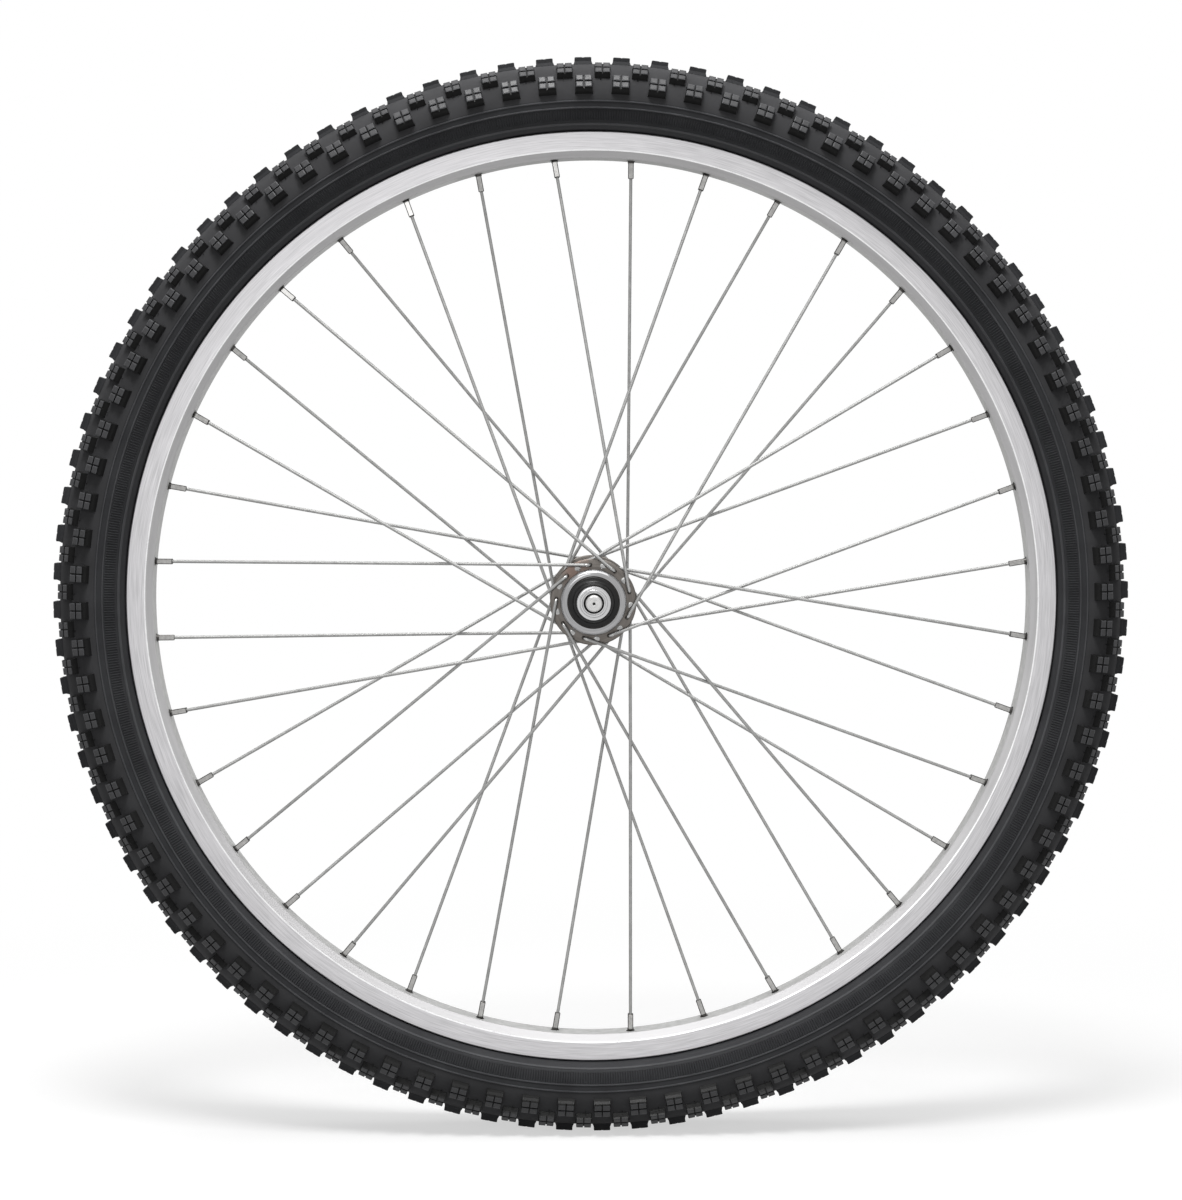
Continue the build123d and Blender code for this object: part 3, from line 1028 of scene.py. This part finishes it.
    def vents(self, turn: float, reach: float, phase: float, side: Side) -> Piece:
        """A row of thin moulding vents standing on the tread.

        Args:
            turn: Their place in the section.
            reach: The distance of their tips from the section's centre.
            phase: Their place along a pitch, as a share of it.
            side: The side of the crest.

        Returns:
            The row as one shape.
        """
        length = reach - self.casing_radius + self.vent_sink
        row = cylinder("vents", self.vent_sides, self.vent_radius, length)
        taper = (self.vent_taper, self.vent_taper, 1)
        with editing(row):
            pick_points(row, lambda p: p.z > 0)
            bpy.ops.transform.resize(value=taper, center_override=(0, 0, length / 2))
        self.stand_round(row, self.section_point(reach - length / 2, turn), turn, phase, side)
        dress(row, TREAD_RUBBER)
        return row

    def build(self) -> None:
        """Make the whole tyre."""
        crest, *others = self.knobs
        tip = self.vent_tip - self.centre_radius
        stand = self.casing_radius + self.vent_stand
        parts = [self.casing(), self.knob_row(crest, Side.RIGHT)]
        parts.append(self.vents(0.0, tip, self.crest_vent, Side.RIGHT))
        for side in Side:
            parts += [self.knob_row(knob, side) for knob in others]
            parts += [self.vents(turn, stand, phase, side) for turn, phase in self.side_vents]
            parts.append(self.side_ribs(side))
        tyre = weld("tyre_moulding", parts)
        mount(tyre, Body.WHEEL, "tyre_rubber", "tyre")


@dataclass
class Rim:
    """The rim: a machined, satin alloy ring with a hole for each nipple."""

    edge: float = 285.5 * MM
    half_width: float = 12.0 * MM
    track_foot: float = 274.0 * MM
    bed: float = 269.8 * MM
    half_bed: float = 8.0 * MM
    channel: float = 9.9 * MM
    seat: float = 279.5 * MM
    seat_in: float = 6.7 * MM
    well: float = 277.5 * MM
    half_well: float = 5.8 * MM
    corner: float = 0.45 * MM
    lip: float = 0.7 * MM
    steps: int = 360
    hole_sides: int = 20
    hole_radius: float = 2.7 * MM
    hole_depth: float = 4.5 * MM

    def outline(self) -> Outline:
        """The rim's closed section.

        Returns:
            Corners of the section, in order.
        """
        slope = Vector((self.track_foot - self.bed, self.half_width - self.half_bed)).normalized()
        shoulder = Vector((self.track_foot, self.half_width)) - slope * self.corner
        return mirrored(
            [
                (self.bed, 0.0),
                (self.bed, self.half_bed - self.corner),
                (self.bed + 0.3 * self.corner, self.half_bed - 0.2 * self.corner),
                (shoulder.x, shoulder.y),
                (self.track_foot + self.corner, self.half_width),
                (self.edge - self.lip, self.half_width),
                (self.edge - 0.3 * self.lip, self.half_width - 0.3 * self.lip),
                (self.edge, self.half_width - self.lip),
                (self.edge, self.channel + self.lip),
                (self.edge - 0.3 * self.lip, self.channel + 0.3 * self.lip),
                (self.edge - self.lip, self.channel),
                (self.seat, self.channel),
                (self.seat, self.seat_in),
                (self.well, self.half_well),
                (self.well, 0.0),
            ]
        )

    def build(self, lacing: Lacing) -> None:
        """Make the rim.

        Args:
            lacing: The spokes, whose nipples the holes are for.
        """
        ring = lathe("rim_ring", self.outline(), self.steps)
        for side, elbow in SPOKE_SETS:
            seat, along, across = lacing.nipple_frame(side, elbow)
            drill = cylinder("drill", self.hole_sides, self.hole_radius, 4 * self.hole_depth)
            place = frame_at(seat + along * self.hole_depth, across, along)
            drill_round(ring, drill, place, lacing.set_size)
        soften(ring, 12.0)
        dress(ring, RIM_ALLOY)
        dress_faces(ring, RIM_SATIN, self.on_slope)
        # The bed is painted darker as shade.
        dress_faces(ring, RIM_BED_SHADE, self.on_bed)
        # The corner between track and slope gets a painted highlight.
        dress_faces(ring, RIM_EDGE_HIGHLIGHT, self.on_corner)
        # The walls of the nipple holes are painted dark as shade.
        dress_faces(ring, RECESS_SHADE, self.in_hole)
        mount(ring, Body.WHEEL, "rim_alloy", "rim")

    def on_slope(self, middle: Vector, normal: Vector) -> bool:
        """Whether a face lies on the rim's inner side, below the braking track."""
        return off_axle(middle) < self.track_foot - self.corner

    def on_bed(self, middle: Vector, normal: Vector) -> bool:
        """Whether a face lies on the flat bed between the two slopes, which is painted darker as shade.
        """
        return off_axle(middle) < self.bed + 0.1 * self.corner

    def on_corner(self, middle: Vector, normal: Vector) -> bool:
        """Whether a face lies on the cut corner between track and slope, which carries a painted
        highlight.
        """
        off_foot = abs(off_axle(middle) - self.track_foot)
        return off_foot < self.corner and abs(middle.y) > self.half_width - self.corner

    def in_hole(self, middle: Vector, normal: Vector) -> bool:
        """Whether a face belongs to the wall of a nipple hole, which is painted dark as shade."""
        round_part = abs(normal.z * middle.x - normal.x * middle.z) / off_axle(middle)
        return round_part > 0.2 or (abs(normal.y) > 0.8 and abs(middle.y) < self.half_well)


@dataclass
class Lacing:
    """The spokes and their nipples: four sets of nine, each spoke crossing four others."""

    count: int = 36
    crosses: int = 4
    spoke_radius: float = 1.0 * MM
    spoke_sides: int = 12
    circle: float = 22.5 * MM
    flange_in: float = 29.5 * MM
    flange_out: float = 32.5 * MM
    elbow_stand: float = 3.1 * MM
    bend: float = 2.4 * MM
    bend_steps: int = 7
    seat_radius: float = 271.35 * MM
    hole_offset: float = 1.5 * MM
    lacing_gap: float = 0.3 * MM
    first_angle: float = 5.0
    head_radius: float = 1.85 * MM
    head_dome: float = 0.6 * MM
    head_tip: float = 0.45
    head_stages: tuple[tuple[float, float], ...] = ((0.15, 0.75), (0.45, 1.0), (0.40, 1.0))
    head_zone: float = 25.2 * MM
    nipple_sides: int = 24
    collar_radius: float = 2.0 * MM
    collar: float = 2.9 * MM
    shank_radius: float = 2.12 * MM
    flat: float = 3.4 * MM
    nipple_length: float = 12.0 * MM
    nipple_head: float = 2.9 * MM
    nipple_head_height: float = 2.4 * MM
    nipple_head_end: float = 0.7
    nipple_head_rim: float = 0.02 * MM
    tip_bevel: float = 0.35 * MM
    socket_radius: float = 1.25 * MM
    socket_depth: float = 0.9 * MM
    # Faces tilted more than this towards the end or a corner are painted dark as shade.
    shade_tilt: float = 0.2

    @property
    def set_size(self) -> int:
        """Spokes in one set."""
        return self.count // 4

    def run(self, side: Side, elbow: Elbow) -> tuple[Vector, Vector, Vector, Vector]:
        """Corners of one spoke's centre line.

        Args:
            side: The flange's side.
            elbow: The side of the flange on which the spoke bends.

        Returns:
            Its head, elbow, last cross and nipple seat.
        """
        pair = 2 * 360.0 / self.count
        lean = elbow.value
        outer = elbow is Elbow.OUTER
        first = self.first_angle + (pair / 2 if side is Side.LEFT else 0.0)
        rim_angle = first if outer else first + pair
        hub_angle = rim_angle - lean * self.crosses * pair
        stands = (self.flange_out + self.elbow_stand, self.flange_in - self.elbow_stand)
        elbow_y = stands[0] if outer else stands[1]
        head_y = self.flange_in if outer else self.flange_out
        hub_part = self.circle * math.sin(math.radians((self.crosses - 0.5) * pair))
        rim_part = self.seat_radius * math.sin(math.radians(0.5 * pair))
        share = hub_part / (hub_part + rim_part)
        cross_y = (1 - share) * sum(stands) / 2 + share * self.hole_offset
        cross_y -= lean * (2 * self.spoke_radius + self.lacing_gap) / 2
        head = wheel_point(self.circle, hub_angle, side.value * head_y)
        corner = wheel_point(self.circle, hub_angle, side.value * elbow_y)
        seat = wheel_point(self.seat_radius, rim_angle, side.value * self.hole_offset)
        straight = corner.lerp(seat, share)
        cross = Vector((straight.x, side.value * cross_y, straight.z))
        return head, corner, cross, seat

    def nipple_frame(self, side: Side, elbow: Elbow) -> tuple[Vector, Vector, Vector]:
        """A nipple's seat, the direction along it towards the hub, and a direction across it.

        Args:
            side: The side of the wheel.
            elbow: The side of the flange on which the spokes bend.

        Returns:
            The seat and the two directions.
        """
        _, _, cross, seat = self.run(side, elbow)
        along = (cross - seat).normalized()
        across = along.cross(Vector(AXLE)).normalized()
        return seat, along, across

    def wire(self, side: Side, elbow: Elbow) -> Piece:
        """One set of spokes: a domed head, an elbow and a straight wire that bows at the last cross.

        Args:
            side: The side of the wheel.
            elbow: The side of the flange on which the spokes bend.

        Returns:
            The set as one piece.
        """
        head, corner, cross, seat = self.run(side, elbow)
        into = (corner - head).normalized()
        away = (cross - corner).normalized()
        turn = into.angle(away)
        lead = self.bend * math.tan(turn / 2)
        pivot = corner - into * lead + (away - into * away.dot(into)).normalized() * self.bend
        middle = head - into * self.head_dome
        radius = self.head_tip * self.head_radius
        bpy.ops.mesh.primitive_circle_add(
            vertices=self.spoke_sides,
            radius=radius,
            fill_type="NGON",
            location=middle,
            rotation=(math.pi / 2, 0, 0),
        )
        spoke = adopt(f"spokes_{side.word}_{elbow.word}")
        stages = [(rise * self.head_dome, wide * self.head_radius) for rise, wide in self.head_stages]
        stages.append((self.head_radius - self.spoke_radius, self.spoke_radius))
        with editing(spoke):
            for step, wide in stages:
                push(into * step)
                middle = middle + into * step
                ratio = wide / radius
                bpy.ops.transform.resize(value=(ratio, 1, ratio), center_override=middle)
                radius = wide
            push(corner - into * lead - middle)
            bpy.ops.mesh.spin(
                steps=self.bend_steps, angle=turn, center=pivot, axis=away.cross(into).normalized()
            )
            push(cross - corner - away * lead)
            push(seat - cross)
            close_seams()
        repeat_round(spoke, self.set_size)
        soften(spoke, 50.0)
        dress(spoke, SPOKE_STEEL)
        # The heads and elbows get a paler colour as a painted highlight.
        dress_faces(spoke, HEAD_STEEL, self.at_hub)
        return spoke

    def at_hub(self, middle: Vector, normal: Vector) -> bool:
        """Whether a face of a spoke lies on its flange's outer side, by its head or elbow, where a
        highlight is painted.
        """
        return abs(middle.y) > self.flange_out and off_axle(middle) < self.head_zone

    def painted_dark(self, middle: Vector, normal: Vector) -> bool:
        """Whether a face of a nipple's shank lies on its end or on a corner between two flats, where
        shade is painted.
        """
        return normal.z > self.shade_tilt or min(abs(normal.x), abs(normal.y)) > self.shade_tilt

    def nipple_set(self, side: Side, elbow: Elbow) -> Piece:
        """One set of nipples: a domed head, a round collar and a shank with four flats.

        Args:
            side: The side of the wheel.
            elbow: The side of the flange on which the spokes bend.

        Returns:
            The set as one shape.
        """
        shank = self.nipple_length - self.collar
        middle = self.collar + shank / 2
        nipple = cylinder("nipple", self.nipple_sides, self.shank_radius, shank, middle)
        half = self.flat / 2
        with editing(nipple):
            for x, y in ((1, 0), (-1, 0), (0, 1), (0, -1)):
                bpy.ops.mesh.select_all(action="SELECT")
                bpy.ops.mesh.bisect(
                    plane_co=(x * half, y * half, 0), plane_no=(x, y, 0), use_fill=True, clear_outer=True
                )
            pick_faces(nipple, lambda middle, normal: normal.z > FACING)
            bpy.ops.mesh.inset(thickness=self.tip_bevel)
            bpy.ops.transform.translate(value=(0, 0, self.tip_bevel))
            bpy.ops.mesh.inset(thickness=half - self.tip_bevel - self.socket_radius)
            push((0, 0, -self.socket_depth))
            close_seams()
        dress(nipple, NIPPLE_PLATE)
        # The ends and the corners between flats are painted dark as shade.
        dress_faces(nipple, NIPPLE_SHADE, self.painted_dark)
        collar = cylinder("collar", self.nipple_sides, self.collar_radius, self.collar, self.collar / 2)
        ratio = self.nipple_head / self.collar_radius
        taper = (self.nipple_head_end, self.nipple_head_end, 1)
        with editing(collar):
            pick_faces(collar, lambda middle, normal: normal.z < -FACING)
            bpy.ops.mesh.inset(thickness=self.nipple_head_rim)
            bpy.ops.transform.resize(value=(ratio, ratio, 1), center_override=CENTRE)
            push((0, 0, -0.5 * self.nipple_head_height))
            push((0, 0, -0.5 * self.nipple_head_height))
            bpy.ops.transform.resize(value=taper, center_override=(0, 0, -self.nipple_head_height))
            close_seams()
        # The collar and head, down in the rim's hole, are painted dark as shade.
        dress(collar, NIPPLE_SHADE)
        nipple = weld("nipple", [nipple, collar])
        seat, along, across = self.nipple_frame(side, elbow)
        settle(nipple, frame_at(seat, across, along))
        repeat_round(nipple, self.set_size)
        soften(nipple, 28.0)
        return nipple

    def build(self) -> None:
        """Make the spokes and the nipples."""
        for side in Side:
            for elbow in Elbow:
                spokes = self.wire(side, elbow)
                mount(spokes, Body.WHEEL, "spoke_steel", f"{side.word}_{elbow.word}_spokes")
            nipples = weld(f"nipples_{side.word}", [self.nipple_set(side, elbow) for elbow in Elbow])
            mount(nipples, Body.WHEEL, "nipple_brass", f"{side.word}_nipples")


@dataclass
class Hub:
    """The hub: a flanged shell, polished dust caps, rubber seals, round nuts and the axle."""

    steps: int = 96
    barrel: float = 12.5 * MM
    barrel_bore: float = 9.5 * MM
    half_barrel: float = 10.0 * MM
    boss: float = 17.5 * MM
    boss_end: float = 37.5 * MM
    boss_root: float = 2.5 * MM
    flange: float = 26.2 * MM
    flange_in: float = Lacing.flange_in
    flange_out: float = Lacing.flange_out
    flange_drop: float = 0.96 * MM
    knee: float = 0.6 * MM
    knee_drop: float = 0.36 * MM
    bevel_width: float = 2.0 * MM
    edge: float = 0.3 * MM
    fit: float = 0.02 * MM
    bearing_seat: float = 15.195 * MM
    bearing_floor: float = 29.225 * MM
    hole_sides: int = 16
    hole_radius: float = 1.25 * MM
    hole_length: float = 10.0 * MM
    sink_start: float = 0.6 * MM
    sink_depth: float = 1.6 * MM
    sink_flare: float = 2.28
    cap: float = 20.0 * MM
    cap_mouth: float = 15.6 * MM
    cap_end: float = 39.4 * MM
    cap_round: float = 3.4 * MM
    cap_foot: float = 0.25 * MM
    seal_bore: float = 8.65 * MM
    seal_in: float = 38.83 * MM
    seal_lip: float = 15.3 * MM
    seal_edge: float = 0.4 * MM
    lip_height: float = 1.2 * MM
    lip_width: float = 2.6 * MM
    step_height: float = 1.5 * MM
    step_foot: float = 0.6 * MM
    step_edge: float = 0.5 * MM
    seal_nose: float = 11.4 * MM
    nose_flare: float = 0.2 * MM
    nose_drop: float = 0.7 * MM
    nut: float = 10.2 * MM
    nut_back: float = 45.0 * MM
    nut_face: float = 50.0 * MM
    nut_bevel: float = 0.6 * MM
    nut_knee: float = 0.2 * MM
    nut_groove: float = 8.2 * MM
    groove_half: float = 0.2 * MM
    groove_depth: float = 0.15 * MM
    nut_ring: float = 6.8 * MM
    ring_half: float = 0.2 * MM
    ring_rise: float = 0.05 * MM
    nut_step: float = 0.35 * MM
    nut_sink: float = 1.2 * MM
    axle: float = 5.0 * MM
    axle_core: float = 4.675 * MM
    axle_end: float = 54.5 * MM
    end_step: float = 0.15 * MM
    end_drop: float = 0.7 * MM
    end_bevel: float = 0.8 * MM
    relief: float = 0.05 * MM
    thread_pitch: float = 1.0 * MM
    thread_depth: float = 0.45 * MM
    thread_marks: tuple[float, float, float] = (0.1, 0.5, 0.62)
    thread_stop: float = 0.6 * MM
    drill_radius: float = 0.9 * MM
    drill_edge: float = 0.1 * MM

    def shell(self, lacing: Lacing) -> None:
        """Make the shell with its two drilled flanges.

        Args:
            lacing: The spokes, whose heads and elbows the holes are for.
        """
        root = self.flange_in - self.boss_root
        rise, reach = self.boss - self.barrel, root - self.half_barrel
        waist = [
            (self.barrel + rise * (1 - math.cos(t)), self.half_barrel + reach * math.sin(t))
            for t in (math.pi / 2 * i / 8 for i in range(9))
        ]
        outline = mirrored(
            [
                (self.barrel_bore, 0.0),
                (self.barrel_bore, self.bearing_floor),
                (self.bearing_seat, self.bearing_floor),
                (self.bearing_seat, self.boss_end),
                (self.boss, self.boss_end),
                (self.boss, self.flange_out + self.edge),
                (self.boss + self.edge, self.flange_out),
                (self.flange - self.bevel_width, self.flange_out),
                (self.flange - self.knee, self.flange_out - self.knee_drop),
                (self.flange, self.flange_out - self.flange_drop),
                (self.flange, self.flange_in + self.flange_drop),
                (self.flange - self.knee, self.flange_in + self.knee_drop),
                (self.flange - self.bevel_width, self.flange_in),
                (self.boss + self.boss_root, self.flange_in),
                *reversed(waist),
                (self.barrel, 0.0),
            ]
        )
        shell = lathe("hub_shell_turned", outline, self.steps)
        for side, elbow in SPOKE_SETS:
            head, corner, _, _ = lacing.run(side, elbow)
            across = Vector((head.x, 0, head.z)).normalized()
            place = frame_at(head, across, (corner - head).normalized())
            drill_round(shell, self.spoke_drill(), place, lacing.set_size)
        soften(shell, 30.0)
        dress(shell, HUB_ALLOY)
        mount(shell, Body.WHEEL, "hub_alloy", "hub_shell")

    def spoke_drill(self) -> Piece:
        """A drill for a spoke hole, which widens below the origin for the spoke's head.

        Returns:
            The drill, at the origin and along Z.
        """
        drill = cylinder("drill", self.hole_sides, self.hole_radius, self.hole_length)
        end = -self.sink_start - self.sink_depth
        with editing(drill):
            pick_points(drill, lambda p: p.z < 0)
            bpy.ops.transform.translate(value=(0, 0, self.hole_length / 2 - self.sink_start))
            pick_faces(drill, lambda middle, normal: normal.z < -FACING)
            push((0, 0, -self.sink_depth))
            flare = (self.sink_flare, self.sink_flare, 1)
            bpy.ops.transform.resize(value=flare, center_override=(0, 0, end))
        return drill

    def dust_cap(self, side: Side) -> None:
        """Make one polished dust cap.

        Args:
            side: The side of the wheel.
        """
        bore = self.boss + self.fit
        base = self.flange_out + self.fit
        step = self.boss_end + self.fit
        round_centre = (self.cap - self.cap_round, self.cap_end - self.cap_round)
        outline = [
            (bore, base),
            (self.cap - self.cap_foot, base),
            (self.cap, base + self.cap_foot),
            *arc(round_centre, self.cap_round, 0.0, 90.0, 10),
            (self.cap_mouth + self.edge, self.cap_end),
            (self.cap_mouth, self.cap_end - self.edge),
            (self.cap_mouth, step),
            (bore, step),
        ]
        cap = turned(f"dust_cap_{side.word}", sided(outline, side), self.steps, 30.0, CAP_CHROME)
        mount(cap, Body.WHEEL, "cap_chrome", f"{side.word}_dust_cap")

    def seal(self, side: Side) -> None:
        """Make one stepped rubber seal.

        Args:
            side: The side of the wheel.
        """
        lip_top = self.seal_in + self.lip_height
        step = self.seal_lip - self.lip_width
        step_top = lip_top + self.step_height
        outline = [
            (self.seal_bore, self.seal_in),
            (self.seal_lip, self.seal_in),
            (self.seal_lip, lip_top - self.seal_edge),
            (self.seal_lip - self.seal_edge, lip_top),
            (step + self.step_foot, lip_top),
            (step, lip_top + self.step_edge),
            (step, step_top - self.step_edge),
            (step - self.seal_edge, step_top),
            (self.seal_nose + self.nose_flare, self.nut_back - self.nose_drop),
            (self.seal_nose - self.step_edge, self.nut_back),
            (self.seal_bore, self.nut_back),
        ]
        seal = turned(f"seal_{side.word}", sided(outline, side), self.steps, 40.0, SEAL_RUBBER)
        mount(seal, Body.AXLE_SET, "seal_rubber", f"{side.word}_seal")

    def locknut(self, side: Side) -> None:
        """Make one round locknut with turned rings on its face.

        Args:
            side: The side of the wheel.
        """
        inner = self.nut_face - self.nut_step
        mouth = self.axle + self.nut_sink
        outline = [
            (self.axle, self.nut_back),
            (self.nut, self.nut_back),
            (self.nut, self.nut_face - self.nut_bevel),
            (self.nut - self.nut_knee, self.nut_face - self.nut_knee),
            (self.nut - self.nut_bevel, self.nut_face),
            (self.nut_groove + self.groove_half, self.nut_face),
            (self.nut_groove, self.nut_face - self.groove_depth),
            (self.nut_groove - self.groove_half, self.nut_face),
            (self.nut_ring + self.ring_half, self.nut_face),
            (self.nut_ring, inner + self.ring_rise),
            (self.nut_ring - self.ring_half, inner),
            (mouth, inner),
            (self.axle, inner - self.nut_sink),
        ]
        nut = turned(f"locknut_{side.word}", sided(outline, side), self.steps, 30.0, NUT_STEEL)
        # The mouth round the axle is painted dark as shade.
        dress_faces(nut, RECESS_SHADE, lambda middle, normal: off_axle(middle) < mouth)
        mount(nut, Body.AXLE_SET, "locknut_steel", f"{side.word}_locknut")

    def axle_bar(self) -> None:
        """Make the axle with its threaded, centre-drilled ends."""
        y = self.nut_face + self.relief
        half = [(self.axle_core, 0.0), (self.axle_core, y)]
        foot, crest, crest_end = (mark * self.thread_pitch for mark in self.thread_marks)
        while y + self.thread_pitch < self.axle_end - self.thread_stop:
            half += [
                (self.axle - self.thread_depth, y + foot),
                (self.axle, y + crest),
                (self.axle, y + crest_end),
            ]
            y += self.thread_pitch
        half += [
            (self.axle - self.end_step, self.axle_end - self.end_drop),
            (self.axle - self.end_bevel, self.axle_end),
            (self.drill_radius + self.drill_edge, self.axle_end),
            (self.drill_radius, self.axle_end - self.drill_edge),
            (0.0, self.axle_end - self.drill_radius),
        ]
        bar = turned("axle_bar", mirrored(half), self.steps, 25.0, AXLE_STEEL)
        # The centre drill is painted dark as shade.
        dress_faces(bar, RECESS_SHADE, lambda middle, normal: off_axle(middle) < self.drill_radius)
        mount(bar, Body.AXLE_SET, "axle_steel", "axle")

    def build(self, lacing: Lacing) -> None:
        """Make every piece of the hub that shows.

        Args:
            lacing: The spokes, whose holes the flanges have.
        """
        self.shell(lacing)
        for side in Side:
            self.dust_cap(side)
            self.seal(side)
            self.locknut(side)
        self.axle_bar()


@dataclass
class InnerPieces:
    """The frame's own nodes inside the wheel, which keep their shape and get a finish."""

    tube: str = "inner_tube"
    tape: str = "rim_tape"
    steel: tuple[str, ...] = ("bearing_cup", "cone", "balls", "spacer")

    def build(self, nodes: dict[str, Piece]) -> None:
        """Dress the inner nodes.

        Args:
            nodes: The frame's nodes by name.
        """
        dress(nodes[self.tube], TUBE_RUBBER)
        dress(nodes[self.tape], TAPE_RUBBER)
        for side in Side:
            for name in self.steel:
                dress(nodes[f"{side.word}_{name}"], BEARING_STEEL)
        LOG.info("inner pieces dressed")


@dataclass(frozen=True)
class Lamp:
    """A square lamp that faces the wheel's centre."""

    name: str
    place: Place
    size: float
    power: float


@dataclass
class Studio:
    """The white floor, the soft light and the camera."""

    floor_level: float = -0.3309
    floor_half: float = 30.0
    distance: float = 1.6
    elevation: float = 3.0
    azimuth: float = -1.0
    focal_length: float = 77.7
    shift: tuple[float, float] = (-0.0012, -0.0007)
    lamps: tuple[Lamp, ...] = (
        Lamp("overhead", (0.0, -0.25, 1.9), 2.2, 28.0),
        Lamp("key", (-0.2, -0.95, 2.3), 0.7, 36.0),
        Lamp("front", (-0.6, -2.4, 1.1), 1.0, 6.0),
    )
    world_light: float = 0.12
    floor_color: Color = (0.5, 0.5, 0.5)
    floor_lift: float = 0.58
    floor_near: float = 0.4
    floor_far: float = 1.0

    def floor(self) -> None:
        """Lay the floor, which shows the wheel's shadow and goes over to white away from it."""
        bpy.ops.mesh.primitive_plane_add(size=2 * self.floor_half, location=(0, 0, self.floor_level))
        floor = adopt("studio_floor")
        board = NodeBoard(bpy.data.materials.new("studio_floor"))
        seen = board.seen()
        paint = board.add("BsdfDiffuse", {"Color": (*self.floor_color, 1.0)})
        lift = board.add("Emission", {"Strength": board.math("MULTIPLY", seen, self.floor_lift)})
        near = board.add("AddShader", {0: paint.outputs[0], 1: lift.outputs[0]})
        white = board.add("Emission", {})
        reach = board.add("VectorMath", {0: board.place()}, operation="LENGTH").outputs["Value"]
        sockets = {0: reach, 1: self.floor_near, 2: self.floor_far}
        fade = board.add("MapRange", sockets, interpolation_type="SMOOTHSTEP").outputs[0]
        sockets = {0: board.math("MULTIPLY", fade, seen), 1: near.outputs[0], 2: white.outputs[0]}
        board.close("Material", board.add("MixShader", sockets))
        floor.data.materials.append(board.owner)

    def sky(self) -> None:
        """Light the wheel from all round, with plain white behind it."""
        world = bpy.data.worlds.new("studio")
        bpy.context.scene.world = world
        board = NodeBoard(world)
        light = board.add("Background", {"Color": WHITE, "Strength": self.world_light})
        white = board.add("Background", {"Color": WHITE})
        sockets = {0: board.seen(), 1: light.outputs[0], 2: white.outputs[0]}
        board.close("World", board.add("MixShader", sockets))

    def lights(self) -> None:
        """Hang the soft lamps, each turned to the wheel's centre."""
        for lamp in self.lamps:
            bpy.ops.object.light_add(type="AREA", location=lamp.place)
            light = bpy.context.object
            light.name = lamp.name
            light.data.shape = "SQUARE"
            light.data.size = lamp.size
            light.data.energy = lamp.power
            light.rotation_euler = (-Vector(lamp.place)).to_track_quat("-Z", "Y").to_euler()

    def camera(self) -> None:
        """Set up the camera in front of the wheel."""
        turn = math.radians(self.azimuth)
        rise = math.radians(self.elevation)
        level = Vector((math.sin(turn), -math.cos(turn), 0.0))
        back = level * math.cos(rise) + Vector((0.0, 0.0, math.sin(rise)))
        bpy.ops.object.camera_add(location=back * self.distance)
        camera = bpy.context.object
        camera.rotation_euler = (-back).to_track_quat("-Z", "Y").to_euler()
        camera.data.lens = self.focal_length
        camera.data.shift_x, camera.data.shift_y = self.shift
        bpy.context.scene.camera = camera

    def build(self) -> None:
        """Set up the whole studio."""
        self.floor()
        self.sky()
        self.lights()
        self.camera()
        bpy.context.scene.view_settings.view_transform = "Standard"


def main() -> None:
    """Load the frame, build every piece and the studio, and note the sizes."""
    logging.basicConfig(level=logging.INFO, format="%(name)s: %(message)s")
    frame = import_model()
    bpy.ops.object.select_all(action="DESELECT")
    lacing = Lacing()
    Tyre().build()
    Rim().build(lacing)
    lacing.build()
    Hub().build(lacing)
    InnerPieces().build(frame["nodes"])
    Studio().build()
    bpy.context.view_layer.update()


if __name__ == "__main__":
    main()
